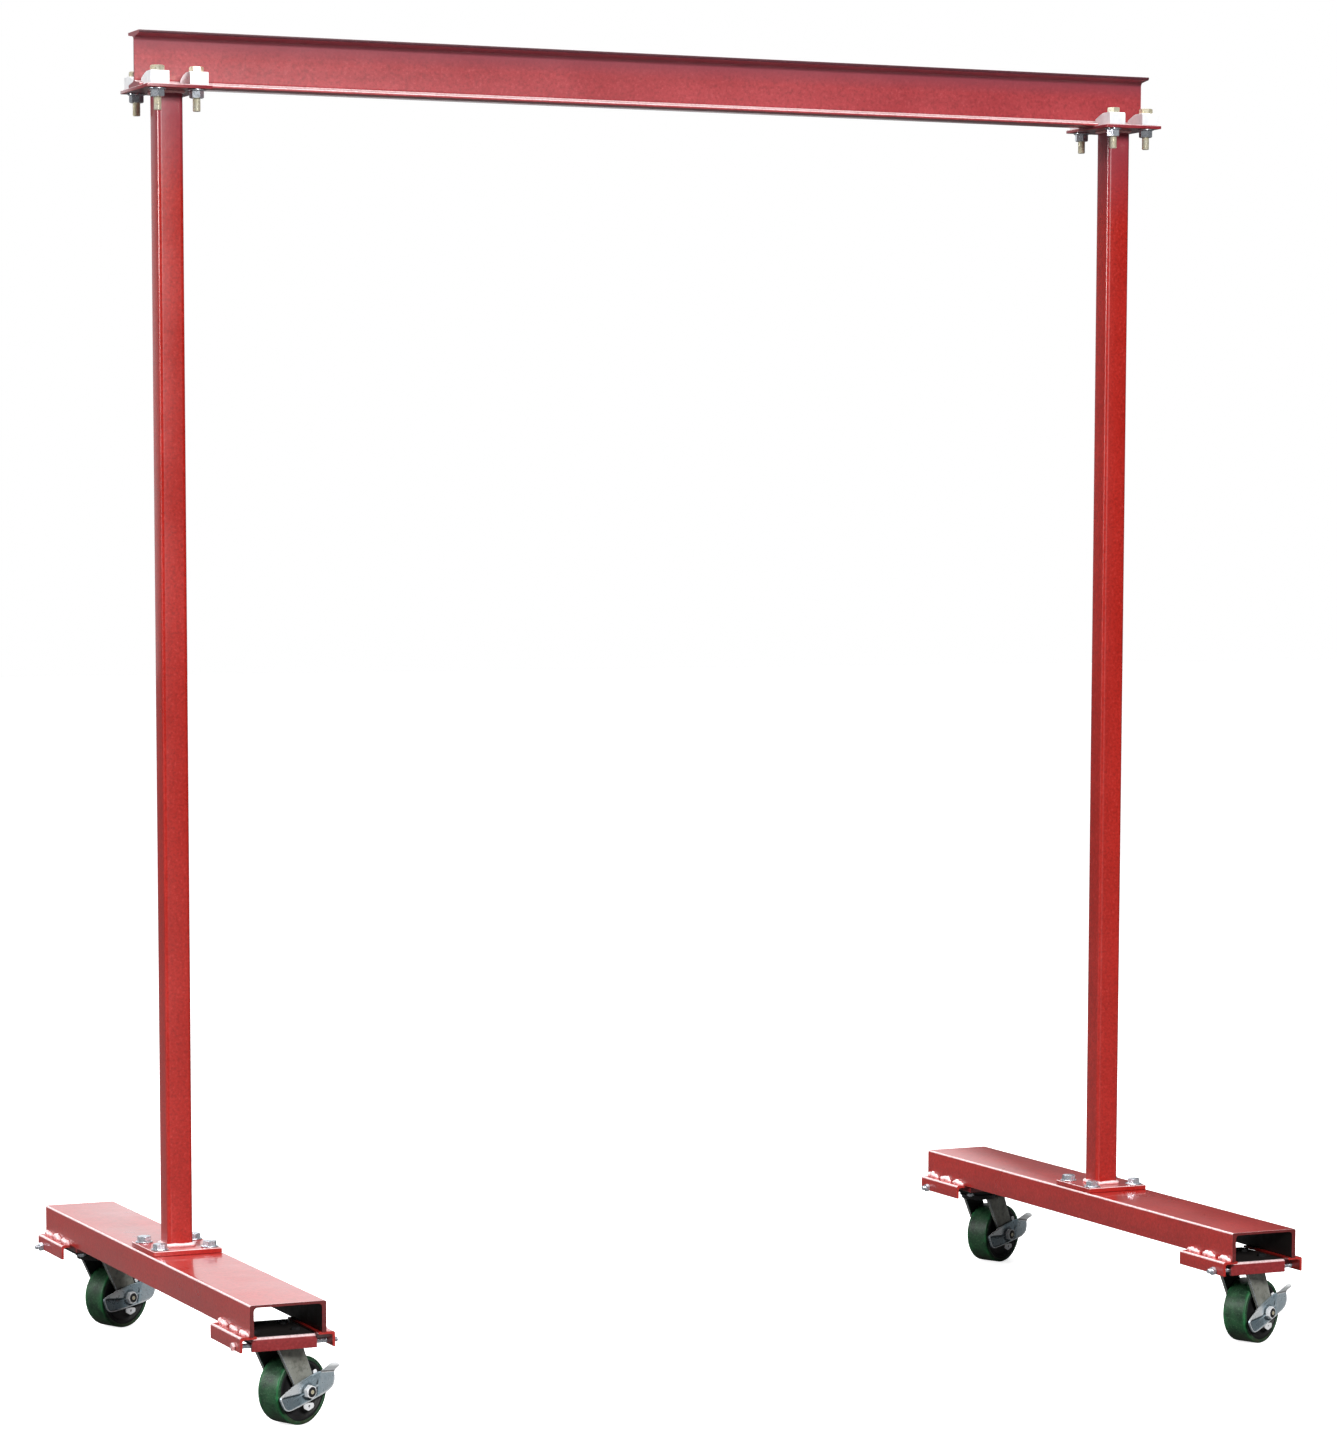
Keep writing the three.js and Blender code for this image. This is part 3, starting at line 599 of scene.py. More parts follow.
def make_beam():
    """The rolled section, with tapered flanges. Its upturned faces carry a painted highlight, its top edges a
    painted shadow and its ends painted shade.
    """
    low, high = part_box("runway_beam")
    half = (high.y - low.y) / 2
    web = 2.45 * MM
    flange_edge = 5.2 * MM
    flange_root = 9.6 * MM
    quarter = [(half, 0, 0.8 * MM), (half, flange_edge, 3 * MM), (web, flange_root, 7 * MM)]
    right = [(y, low.z + z, r) for y, z, r in quarter]
    right += [(y, high.z - z, r) for y, z, r in reversed(quarter)]
    left = [(-y, z, r) for y, z, r in reversed(right)]
    bm = bmesh.new()
    prism(bm, rounded(right + left), low.x, high.x, "x")
    waist = (low.z + high.z) / 2
    # painted shade on the ends, painted highlight on the lower flange's upturned faces, painted shadow on the
    # top flange's edges
    paint_where(bm, lambda at, normal: abs(normal.x) > 0.9, 2)
    paint_where(bm, lambda at, normal: normal.z > 0.2 and at.z < waist and abs(at.y) > 4 * MM, 1)
    paint_where(bm, lambda at, normal: abs(at.y) > half - 2 * MM and at.z > waist, 3)
    materials = [beam_red, highlight_red, shaded_plate_red, shadow_red]
    piece("rolled_beam", bm, "beam", materials, ["runway_beam"], sharp=50)


# ---- Posts, plates and their welds ----


def weld_bead(bm, path, up, size, seed):
    """A lumpy fillet bead along a closed path of (point, outward direction), on the plate's face."""
    rings = []
    for i, (point, outward) in enumerate(path):
        lump = 1 + 0.28 * noise.noise(point * 160 + Vector((seed, 0, 0)))
        ripple = 1 + 0.07 * math.sin(i * 1.9 + seed)
        reach = size * lump * ripple
        rise = 0.85 * size * (1 + 0.3 * noise.noise(point * 90 + Vector((0, seed, 5))))
        ring = []
        for k in range(7):
            angle = math.pi / 2 * k / 6
            full = 0.86 + 0.14 * math.sin(2 * angle)
            off = outward * (reach * math.cos(angle)) + up * (rise * math.sin(angle))
            ring.append(point + off * full)
        ring.append(point - outward * 1.5 * MM)
        rings.append(ring)
    loft(bm, rings, loop=True)


def post_path(low, high, level):
    """Points round the outside of a post, each with its outward direction."""
    step = 2.5 * MM
    centre = Vector(((low.x + high.x) / 2, (low.y + high.y) / 2))
    half = (high.x - low.x) / 2
    straight = half - POST_CORNER
    path = []
    for quarter in range(4):
        turn = Matrix.Rotation(quarter * math.pi / 2, 2)
        count = int(2 * straight / step)
        for k in range(count):
            local = turn @ Vector((half, -straight + 2 * straight * k / count))
            path.append((local, turn @ Vector((1, 0))))
        for k in range(4):
            angle = math.pi / 2 * k / 4
            outward = Vector((math.cos(angle), math.sin(angle)))
            path.append((turn @ (Vector((straight, straight)) + outward * POST_CORNER), turn @ outward))
    return [(Vector((*(centre + p), level)), Vector((*o, 0))) for p, o in path]


def make_post(side):
    body = f"{side}_leg"
    low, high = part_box(f"post_{side}")
    x, y = (low.x + high.x) / 2, (low.y + high.y) / 2
    width = high.x - low.x
    bore = width - 2 * TUBE_WALL
    outer = [p + Vector((x, y)) for p in rectangle(width, width, POST_CORNER, 8)]
    inner = [p + Vector((x, y)) for p in rectangle(bore, bore, POST_CORNER - TUBE_WALL, 8)]
    bm = bmesh.new()
    tube(bm, outer, inner, low.z, high.z)
    piece(f"post_tube_{side}", bm, body, [post_red], [f"post_{side}"], sharp=50)
    seed = 3 if side == "left" else 11
    foot = bmesh.new()
    weld_bead(foot, post_path(low, high, low.z), Vector((0, 0, 1)), 8 * MM, seed)
    piece(f"foot_weld_{side}", foot, body, [weld_red], sharp=60)
    head = bmesh.new()
    weld_bead(head, post_path(low, high, high.z), Vector((0, 0, -1)), 6 * MM, seed + 4)
    piece(f"head_weld_{side}", head, body, [weld_red], sharp=60)


def make_plate(node, name, side, holes, r, paint):
    low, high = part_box(node)
    x, y = (low.x + high.x) / 2, (low.y + high.y) / 2
    outline = [p + Vector((x, y)) for p in rectangle(high.x - low.x, high.y - low.y, 1.5 * MM, 3)]
    bm = bmesh.new()
    prism(bm, outline, low.z, high.z, "z")
    bm = drilled(bm, [(x + u, y + v, r) for u, v in holes], low.z - 0.01, high.z + 0.01, "z")
    # painted highlight on the bevelled edges
    piece(name, bm, f"{side}_leg", [paint, highlight_red], [node], bevel=1.5 * MM, edge=1)


def clamp_places(side):
    """The clamp nodes of a leg, as (label, middle of the bolt)."""
    labels = [f"{side}_{end}_{letter}" for end in ENDS for letter in "ab"]
    return [(label, middle_of(f"clamp_bolt_{label}")) for label in labels]


def foot_places(side):
    middle = middle_of(f"foot_plate_{side}")
    half = FOOT_BOLT_SPACING / 2
    return [(middle.x + i * half, middle.y + j * half) for i in (-1, 1) for j in (-1, 1)]


def make_foot_bolts(side):
    """Hex bolts with flat washers through the foot plate and the channel's web, and nuts under it."""
    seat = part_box(f"foot_plate_{side}")[1].z
    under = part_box(f"base_channel_{side}")[1].z - CHANNEL_WEB
    nut_height = 13 * MM
    nut = under - FOOT_WASHER
    head = seat + FOOT_WASHER
    bm = bmesh.new()
    for i, place in enumerate(foot_places(side)):
        washer(bm, FOOT_WASHER_R, HEAVY_R, seat, head, "z", place)
        hexagon(bm, HEAVY_FLATS, head, head + FOOT_BOLT_HEAD, "z", place, "high", 0.35 + 0.6 * i)
        washer(bm, FOOT_WASHER_R, HEAVY_R, nut, under, "z", place)
        hexagon(bm, HEAVY_FLATS, nut - nut_height, nut, "z", place, "both", 0.2 + i)
        screw(bm, HEAVY_R, nut - nut_height - 5 * MM, head + 1 * MM, "z", place, "low")
    piece(f"foot_bolts_{side}", bm, f"{side}_leg", [zinc])


# ---- Beam clamps ----


def make_clamp(label, side, bolt):
    """A block whose heel stands on the head plate, and whose sloping toe bears on the beam's flange."""
    node = f"clamp_block_{label}"
    low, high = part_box(node)
    way = -1 if "front" in label else 1
    inner, outer = sorted((abs(low.y), abs(high.y)))
    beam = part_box("runway_beam")
    heel = beam[1].y + 1.5 * MM
    over = beam[0].z + 5.5 * MM
    toe = over + 2.1 * MM
    nose = toe + 6 * MM
    crest = inner + 0.57 * (outer - inner)
    bow = 9 * MM
    foot = ((inner, toe), (beam[1].y, over), (heel, over), (heel, low.z), (outer, low.z))
    outline = [Vector(p) for p in foot]
    outline += rounded([(outer, high.z, 3 * MM), (crest, high.z, 0), (outer, low.z, 0)], 4)[:5]
    outline += bezier((crest, high.z), (crest - bow, high.z), (inner + bow, nose + 3 * MM), (inner, nose), 8)
    outline.append(Vector((inner, nose)))
    bm = bmesh.new()
    prism(bm, [Vector((way * p.x, p.y)) for p in outline], low.x, high.x, "x")
    bm = drilled(bm, [(bolt.x, bolt.y, CLAMP_HOLE)], low.z - 0.01, high.z + 0.01, "z")
    piece(node + "_steel", bm, f"{side}_leg", [clamp_zinc], [node], bevel=0.9 * MM)


def make_clamp_bolt(label, side, bolt):
    """A bolt down through the block and the head plate, with a washer and nut under the plate."""
    node = f"clamp_bolt_{label}"
    low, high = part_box(node)
    place = (bolt.x, bolt.y)
    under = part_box(f"head_plate_{side}")[0].z
    twist = 0.3 + sum(map(ord, label)) * 0.37
    head = high.z - 9.9 * MM
    nut = under - 2.8 * MM
    bm = bmesh.new()
    hexagon(bm, HEAVY_FLATS, head, high.z, "z", place, "high", twist)
    screw(bm, THREAD_R, low.z, head + 1 * MM, "z", place, "low")
    first = len(bm.faces)
    washer(bm, 16.5 * MM, HEAVY_R, nut, under - 0.2 * MM, "z", place)
    hexagon(bm, HEAVY_FLATS, nut - 14 * MM, nut, "z", place, "both", twist + 0.9)
    paint_faces(bm, first, 1)
    piece(node + "_set", bm, f"{side}_leg", [yellow_zinc, zinc], [node])


# ---- Bases and rails ----


def make_base(side):
    """The channel with its web up, painted dark inside as shade and with a painted highlight on its upturned
    outer rounds, with its four rails.
    """
    node = f"base_channel_{side}"
    low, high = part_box(node)
    x = middle_of(f"foot_plate_{side}").x
    half = CHANNEL_WIDTH / 2
    bottom = high.z - CHANNEL_HEIGHT
    inner = half - CHANNEL_LEG
    ceiling = high.z - CHANNEL_WEB
    edge = 1 * MM
    right = [
        (inner, ceiling, CHANNEL_FILLET), (inner, bottom, edge),
        (half, bottom, edge), (half, high.z, WORN_EDGE),
    ]
    left = [(-u, z, r) for u, z, r in reversed(right)]
    bm = bmesh.new()
    prism(bm, [p + Vector((x, 0)) for p in rounded(right + left)], low.y, high.y, "y")
    holes = [(u, v, FOOT_HOLE) for u, v in foot_places(side)]
    bm = drilled(bm, holes, ceiling - 0.01, high.z + 0.01, "z")

    def inside(at, normal):
        near = 0.3 * MM
        return abs(normal.y) <= 0.5 and abs(at.x - x) < inner + near and at.z < ceiling + near

    # painted shade: the channel's inside near black
    paint_where(bm, inside, 1)
    # painted highlight on the upturned outer rounds
    paint_where(bm, lambda at, normal: 0.15 < normal.z < 0.98 and abs(at.x - x) > inner, 2)
    # darker enamel on the end faces
    paint_where(bm, lambda at, normal: abs(normal.y) > 0.9, 3)
    materials = [base_red, painted_shade_inside, highlight_red, dark_end_red]
    piece(f"base_beam_{side}", bm, f"{side}_leg", materials, [node], bevel=1.9 * MM, edge=2)
    for end in (-1, 1):
        for way in (-1, 1):
            make_rail(side, x, bottom, end, way, high.y - RAIL_INSET)


def make_rail(side, x, top, end, way, far):
    """An angle rail under one lower edge of the channel, and its three stitch welds."""
    root = RAIL_REACH - RAIL_WIDTH
    flank = RAIL_REACH - RAIL_THICK
    corners = [
        (root, top, 0), (RAIL_REACH, top, WORN_EDGE), (RAIL_REACH, top - RAIL_DROP, 0.6 * MM),
        (flank, top - RAIL_DROP, 2 * MM), (flank, top - RAIL_THICK, 4 * MM), (root, top - RAIL_THICK, 2 * MM),
    ]
    outline = [Vector((x + way * p.x, p.y)) for p in rounded(corners, 4)]
    bm = bmesh.new()
    prism(bm, outline, *sorted((end * far, end * (far - RAIL_LENGTH))), "y")
    label = f"{ENDS[end > 0]}_{side}"
    bolt = middle_of(f"cross_bolt_{label}")
    bm = drilled(bm, [(bolt.y, bolt.z, LIGHT_HOLE)], x - 0.2, x + 0.2, "x")
    middle = end * (far - RAIL_LENGTH / 2)
    corner = x + way * RAIL_REACH
    inset = 0.5 * MM
    weld_x = x + way * (CHANNEL_WIDTH / 2 - inset)
    first = len(bm.faces)
    for i, share in enumerate(RAIL_WELDS):
        seed = i + 4 * way + 9 * end + (17 if side == "left" else 0)
        stitch(bm, Vector((weld_x, middle + share * RAIL_LENGTH, top)), way, seed)
    paint_faces(bm, first, 1)

    def at_edge(at, normal):
        return 0.1 < normal.z < 0.99 and abs(at.x - corner) < WORN_EDGE and at.z > top - WORN_EDGE

    # painted highlight on the rail's upper outer round
    paint_where(bm, at_edge, 2)
    name = f"angle_rail_{label}_{'outer' if way * x > 0 else 'inner'}"
    piece(name, bm, f"{side}_leg", [base_red, weld_red, highlight_red], sharp=38)


def stitch(bm, centre, way, seed):
    """One short fillet weld along Y in the corner between the channel's side and a rail, laid in lumps."""
    rings = []
    steps = 30
    lumps = 3
    for i in range(steps + 1):
        t = -1 + 2 * i / steps
        full = math.sqrt(max(0.02, 1 - t * t)) ** 0.6
        full *= 0.58 + 0.42 * abs(math.cos(math.pi * lumps * t / 2 + 0.4 * seed))
        point = centre + Vector((0, t * WELD_LENGTH / 2, 0))
        wide = WELD_SIZE * full * (1 + 0.4 * noise.noise(point * 130 + Vector((seed, 1, 2))))
        tall = 1.05 * WELD_SIZE * full * (1 + 0.45 * noise.noise(point * 110 + Vector((2, seed, 7))))
        ring = []
        for k in range(9):
            angle = math.pi / 2 * k / 8
            grain = noise.noise(point * 400 + Vector((k, seed, 0)))
            bulge = 0.84 + 0.2 * math.sin(2 * angle) + 0.05 * grain
            across = way * wide * math.cos(angle) * bulge
            ring.append(point + Vector((across, 0, tall * math.sin(angle) * bulge)))
        ring.append(point - Vector((way * 1 * MM, 0, 1 * MM)))
        rings.append(ring)
    loft(bm, rings)


# ---- Caster carriers ----


def make_carrier(corner, side):
    """A plate between the rails, with its outer end bent down into a lip."""
    node = f"caster_carrier_{corner}"
    low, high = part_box(node)
    way = -1 if corner.startswith("front") else 1
    near, outer = sorted((abs(low.y), abs(high.y)))
    under = high.z - 9.5 * MM
    lip = outer - 6.4 * MM
    bend = 4.5 * MM
    edge = 0.8 * MM
    corners = [
        (outer, low.z, edge), (outer, high.z, bend), (near, high.z, edge),
        (near, under, edge), (lip, under, 2 * MM), (lip, low.z, edge),
    ]
    bm = bmesh.new()
    prism(bm, [Vector((way * p.x, p.y)) for p in rounded(corners)], low.x, high.x, "x")
    holes = [(*place, LIGHT_HOLE) for place in plate_bolts(corner)]
    bm = drilled(bm, holes, high.z - 0.02, high.z + 0.01, "z", 20)
    # painted shade on the plate's top and underside inside the channel, painted highlight on the lip's bend
    paint_where(bm, lambda at, normal: abs(normal.z) > 0.9 and abs(at.y) < lip + 2 * MM, 1)
    paint_where(bm, lambda at, normal: 0.1 < normal.z < 0.99 and abs(at.y) > outer - bend, 2)
    materials = [shaded_carrier_red, painted_shade_inside, highlight_red]
    piece(node + "_steel", bm, f"{side}_leg", materials, [node], bevel=1.2 * MM)


def plate_bolts(corner):
    """Where the four bolts that hold a caster stand."""
    x, y, _ = JOINTS[f"swivel_{corner}"]["pos_m"]
    return [(x + i * PLATE_BOLTS[0], y + j * PLATE_BOLTS[1]) for i in (-1, 1) for j in (-1, 1)]


def make_cross_bolt(corner, side):
    """The bolt through both rails. The front left one's outer end is under the enamel."""
    node = f"cross_bolt_{corner}"
    low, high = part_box(node)
    middle = (low + high) / 2
    x = middle_of(f"foot_plate_{side}").x
    # the nut is on the side that the node reaches further out on
    way = 1 if middle.x > x else -1
    head, tail = sorted((high.x - x, x - low.x))
    face = RAIL_REACH + 0.3 * MM
    place = (middle.y, middle.z)
    last, first = ("high", "low") if way > 0 else ("low", "high")

    def span(a, b):
        return sorted((x + way * a, x + way * b))

    bm = bmesh.new()
    hexagon(bm, LIGHT_FLATS, *span(-head, -face), "x", place, first, 0.3)
    screw(bm, LIGHT_R, *span(-face, tail), "x", place, last, LIGHT_PITCH)
    hexagon(bm, LIGHT_FLATS, *span(face, tail - 8 * MM), "x", place, "both", 0.1)
    if corner == "front_left":
        paint_where(bm, lambda at, normal: at.x < x - face, 1)
    piece(node + "_set", bm, f"{side}_leg", [zinc, weld_red], [node])


# ---- Casters ----

FORK_HALF = 35 * MM
FORK_THICK = 6.4 * MM
LEAD = 57 * MM
AXLE_HEIGHT = 63.5 * MM
CROWN_TOP = 154.3 * MM - AXLE_HEIGHT
LEVER_FACE = -42 * MM
LEVER_RELEASED = 28  # degrees above level, at the brake joint's upper limit


def caster_frame(corner):
    """The axle's place, with X along the way the caster trails, and Y along the axle."""
    roll = JOINTS[f"roll_{corner}"]
    y = Vector(roll["axis"])
    x = y.cross(Vector((0, 0, 1)))
    turn = Matrix((x, y, Vector((0, 0, 1)))).transposed().to_4x4()
    return Matrix.Translation(Vector(roll["pos_m"])) @ turn


def lever_frame(corner):
    """The caster's frame turned about its axle to the lever's rest angle."""
    raised = LEVER_RELEASED - JOINTS[f"brake_{corner}"]["range_deg"][1]
    return caster_frame(corner) @ Matrix.Rotation(-math.radians(raised), 4, "Y")


def make_caster_plate(corner, side):
    """The top plate with its upper race and kingpin, and the four bolts that hold it."""
    node = f"caster_plate_{corner}"
    low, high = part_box(node)
    middle = (low + high) / 2
    bottom = high.z - 6.4 * MM
    bm = bmesh.new()
    outline = [p + middle.xy for p in rectangle(high.x - low.x, high.y - low.y, 9 * MM, 6)]
    prism(bm, outline, bottom, high.z, "z")
    places = plate_bolts(corner)
    bm = drilled(bm, [(*place, LIGHT_HOLE) for place in places], bottom - 0.01, high.z + 0.01, "z", 20)
    first = len(bm.faces)
    axis = 0.5
    race = [(axis, 0.4), (36.5, 0.4), (38, -1), (38, -6), (36.5, -6.9), (8, -6.9)]
    head = [(8, 4.9), (13, 4.9), (13, 2), (9, 0), (axis, 0)]
    profile = [(r * MM, bottom + z * MM) for r, z in race]
    profile += [(r * MM, low.z + z * MM) for r, z in head]
    lathe(bm, profile, "z", middle.xy, 56)
    paint_faces(bm, first, 1)
    # the plate in painted shade, under the carrier
    piece(f"mount_plate_{corner}", bm, f"{side}_leg", [painted_shade_grey, dark_zinc], [node])
    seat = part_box(f"caster_carrier_{corner}")[1].z
    nut = bottom - 7.5 * MM
    bolts = bmesh.new()
    for i, place in enumerate(places):
        hexagon(bolts, LIGHT_FLATS, seat, seat + 5.5 * MM, "z", place, "high", 0.4 * i)
        hexagon(bolts, LIGHT_FLATS, nut, bottom, "z", place, "both", 0.3 + 0.5 * i)
        screw(bolts, LIGHT_R, nut - 2 * MM, seat + 1 * MM, "z", place, "low", LIGHT_PITCH)
    # painted shade on the bolts' parts above the plate, inside the channel
    paint_where(bolts, lambda at, normal: at.z > high.z, 1)
    piece(f"mount_bolts_{corner}", bolts, f"{side}_leg", [zinc, dark_zinc])


def make_fork(corner):
    """A fork pressed from one plate: a crown bent down into two raked legs, under the lower race."""
    body = f"fork_{corner}"
    place = caster_frame(corner)
    top = CROWN_TOP
    half, thick = FORK_HALF, FORK_THICK
    under = top - thick
    low = -AXLE_HEIGHT
    section = [(half, low, 0), (half, top, 9 * MM), (-half, top, 9 * MM), (-half, low, 0)]
    section += [(-half + thick, low, 0), (-half + thick, under, 3 * MM)]
    section += [(half - thick, under, 3 * MM), (half - thick, low, 0)]
    bent = bmesh.new()
    prism(bent, rounded(section, 6), -0.12, 0.12, "x")
    side = bmesh.new()
    prism(side, leg_outline(top), -0.1, 0.1, "y")
    bm = combined(bent, side, "INTERSECT")
    bm = drilled(bm, [(0, 0, AXLE_HOLE)], -0.1, 0.1, "y")
    inner = half - thick + 0.3 * MM
    # painted shade on the fork's inner faces, painted highlight on its bevelled edges
    paint_where(bm, lambda at, normal: abs(at.y) < inner and abs(normal.x) < 0.5, 1)
    nodes = [f"caster_fork_{corner}"]
    materials = [fork_zinc, painted_shade_grey, zinc]
    piece(f"fork_plate_{corner}", bm, body, materials, nodes, place, bevel=1.1 * MM, edge=2)
    # the lower race, pressed on the crown, with a rolled lip
    race = bmesh.new()
    bore = 8.4
    lip = [(bore, -6), (36.5, -6), (37, -1), (39.5, 0.5), (41, 2), (41, 3.6), (40.2, 4.5), (bore, 4.5)]
    lathe(race, [(r * MM, top + z * MM) for r, z in lip], "z", (-LEAD, 0), 64, loop=True)
    piece(f"lower_race_{corner}", race, body, [dark_zinc], place=place)
    make_stop_tab(corner, body, place)


def leg_outline(top):
    """A fork leg seen from the side: straight raked edges down to a round foot."""
    front, back = -14.4 * MM - LEAD, 47.8 * MM - LEAD
    centre = Vector((4 * MM, 2.5 * MM))
    r = 23 * MM
    start = tangent_angle(Vector((front, top)), centre, r, 1)
    stop = tangent_angle(Vector((back, top)), centre, r, -1) + 2 * math.pi
    outline = [Vector((back, top + 5 * MM)), Vector((front, top + 5 * MM)), Vector((front, top))]
    steps = 24
    for k in range(steps + 1):
        angle = start + (stop - start) * k / steps
        outline.append(centre + Vector((math.cos(angle), math.sin(angle))) * r)
    outline.append(Vector((back, top)))
    return outline


def tangent_angle(point, centre, r, way):
    """Where, as an angle about a circle's centre, a line from a point touches the circle."""
    off = point - centre
    return math.atan2(off.y, off.x) + way * math.acos(r / off.length)


def make_stop_tab(corner, body, place):
    """The brake's stop, bent out from the leg under the lever, and the return spring's pin above it.

    Both stand far enough back for the lever to pass in front of them.
    """
    outer = -FORK_HALF
    bm = bmesh.new()
    leaf = in_mm((-9, -23, 3), (-8, -31, 3), (3, -36.5, 4), (17, -31.5, 4), (16, -23.5, 3), (5, -22, 4))
    prism(bm, rounded(leaf), outer - 3.6 * MM, outer - 1.4 * MM, "y")
    bm = drilled(bm, in_mm((5, -28.5, 2.6)), outer - 0.02, outer + 0.02, "y", 20)
    first = len(bm.faces)
    arm = in_mm((-1, -14, 0), (-1, -26, 1), (9, -26, 1), (9, -14, 0))
    prism(bm, rounded(arm, 3), outer - 1.8 * MM, outer + 0.5 * MM, "y")
    # the arm in painted shade, behind the lever
    paint_faces(bm, first, 1)
    pin = in_mm((3.4, 1), (3.4, -1), (4.6, -1), (4.6, -2), (3.8, -2.5))
    lathe(bm, [(r, outer + y) for r, y in pin], "y", (22 * MM, 32.5 * MM), 28)
    piece(f"brake_stop_{corner}", bm, body, [clamp_zinc, painted_shade_grey], place=place)


def make_axle(corner):
    """Axle bolt with its head behind the far leg, cam washer against the near leg, and nut on the lever."""
    body = f"fork_{corner}"
    face = FORK_HALF + 0.3 * MM
    seat = LEVER_FACE - 0.3 * MM
    nut = seat - 8.5 * MM
    bm = bmesh.new()
    hexagon(bm, AXLE_FLATS, face, face + 8 * MM, "y", (0, 0), "high", 0.5)
    washer(bm, 12.5 * MM, 7.8 * MM, -face - 3.4 * MM, -face, "y")
    hexagon(bm, AXLE_FLATS, nut, seat, "y", (0, 0), "low", 0.15 + 0.4 * CORNERS.index(corner))
    first = len(bm.faces)
    # the end of the bolt in the nut, in a ring of painted shade, with a bright centre
    ring = in_mm((5, -0.5), (9.6, -0.3), (5, 1))
    lathe(bm, [(r, nut + y) for r, y in ring], "y", sides=40, loop=True)
    end = nut - 1.1 * MM
    screw(bm, THREAD_R, end, FORK_HALF + 1 * MM, "y", (0, 0), "low")
    paint_faces(bm, first, 2)
    first = len(bm.faces)
    centre = in_mm((0.3, 1), (4, 1), (4, -0.3), (0.3, -0.3))
    lathe(bm, [(r, end + y) for r, y in centre], "y", sides=32)
    paint_faces(bm, first, 1)
    materials = [clamp_zinc, yellow_zinc, dark_zinc]
    nodes = [f"axle_bolt_{corner}"]
    piece(f"axle_set_{corner}", bm, body, materials, nodes, caster_frame(corner))


def make_wheel(corner):
    """A cast core with a thin web and a long hub, in a moulded tread."""
    body = f"wheel_{corner}"
    place = caster_frame(corner)
    half = 26.5
    core = 55.7
    side = [
        (core, 25.1), (core - 1, 25.5), (core - 4.5, 25.5), (core - 6.5, 23.5), (core - 8, 20.1),
        (core - 10, 19.1), (34, 18.7), (26, 19), (20.5, 20.1), (18, 22.5), (17.2, 26.5), (16, 28), (8.3, 28),
    ]
    other = [(r, -w) for r, w in reversed(side)]
    bm = bmesh.new()
    lathe(bm, in_mm(*side, *other), "y", sides=80, loop=True)
    nodes = [f"wheel_core_{corner}"]
    piece(f"wheel_iron_{corner}", bm, body, [core_black], nodes, place, sharp=40)
    rim = AXLE_HEIGHT / MM
    tread = [(rim, half * share, 0) for share in (0.75, 0.4, 0, -0.4, -0.75)]
    outline = [(56, half, 0.8), (rim, half, 4), *tread, (rim, -half, 4), (56, -half, 0.8)]
    bm = bmesh.new()
    lathe(bm, rounded(in_mm(*outline)), "y", sides=96, loop=True)

    def edge(point):
        across = smooth(half - 9, half - 2, abs(point.y) / MM)
        return across * smooth(rim - 2.5, rim - 0.8, math.hypot(point.x, point.z) / MM)

    nodes = [f"wheel_tread_{corner}"]
    masks = [("edge", edge)]
    piece(f"tyre_{corner}", bm, body, [tread_green], nodes, place, sharp=50, masks=masks)


# The lever's drawing is in millimetres about its axle: x towards the tail, h up.
TAIL_TOP = (72, 11)
SHOULDER = (40, 23)
LEVER_THICK = 1.8
SPINE_SHARE = 0.94  # how far in from the edge the innermost ring of points lies


def lever_outline():
    """The lever's face: rounded nose, deep body, and a tail with a sloping top edge."""
    knots = [
        (TAIL_TOP, (61, 15), (51, 19), SHOULDER, 12),
        (SHOULDER, (20, 26.5), (-35, 24), (-64, 17), 40),
        ((-64, 17), (-70, 15.8), (-71, 14), (-69.5, 7), 12),
        ((-69.5, 7), (-66, -8), (-64, -15), (-52, -17), 18),
        ((-52, -17), (-38, -19.5), (10, -20), (40, -20), 40),
        ((40, -20), (64, -20), (72, -10), TAIL_TOP, 26),
    ]
    points = []
    for a, b, c, d, steps in knots:
        points += bezier(a, b, c, d, steps)
    return points


def lever_fold(x, h):
    """How far a point of the nose lies above the fold that slants down from its top corner to the boss."""
    return h - (14.5 - (x + 72) * 0.24)


def lever_bend(x, h):
    """How far a point lies beyond the crease between the nut and the tail."""
    return x - 25 - 0.35 * h


def lever_relief(x, h, inward):
    """How far the pressed face stands back from its highest level, in mm. inward is 0 at the edge."""
    r = math.hypot(x, h)
    depth = 1.2
    # the nose: a shelf along the top edge, the fold, and a pocket below it
    nose = 1 - smooth(-26, -15, x)
    fold = lever_fold(x, h)
    shelf = smooth(0.6, 2.6, fold)
    pocket = 1 - smooth(-3.2, -1.2, fold)
    crease = (1 - shelf) * (1 - pocket)
    depth += nose * (1.1 * pocket - 0.9 * shelf + 1.9 * crease)
    # the crease beyond the nut, and the flat tail
    bend = lever_bend(x, h)
    depth += 1.7 * (smooth(-4, -1.6, bend) - smooth(1.6, 4, bend)) * (1 - smooth(4, 15, h))
    depth -= 0.9 * smooth(2, 7, bend)
    # the groove round the boss, deepest below it
    groove = smooth(13.0, 14.5, r) - smooth(17, 19.5, r)
    depth += groove * (1.4 - 0.05 * h)
    # the rolled rim round the nose and along the lower edge
    rim = (1 - smooth(0.12, 0.22, inward)) * max(1 - smooth(-6, 6, h), 1 - smooth(-60, -52, x))
    depth -= rim * depth
    depth += 1.3 * (1 - smooth(0.0, 0.05, inward))
    boss = 1 - smooth(12.0, 13.5, r)
    return max(0.0, min(3.2, depth * (1 - boss)))


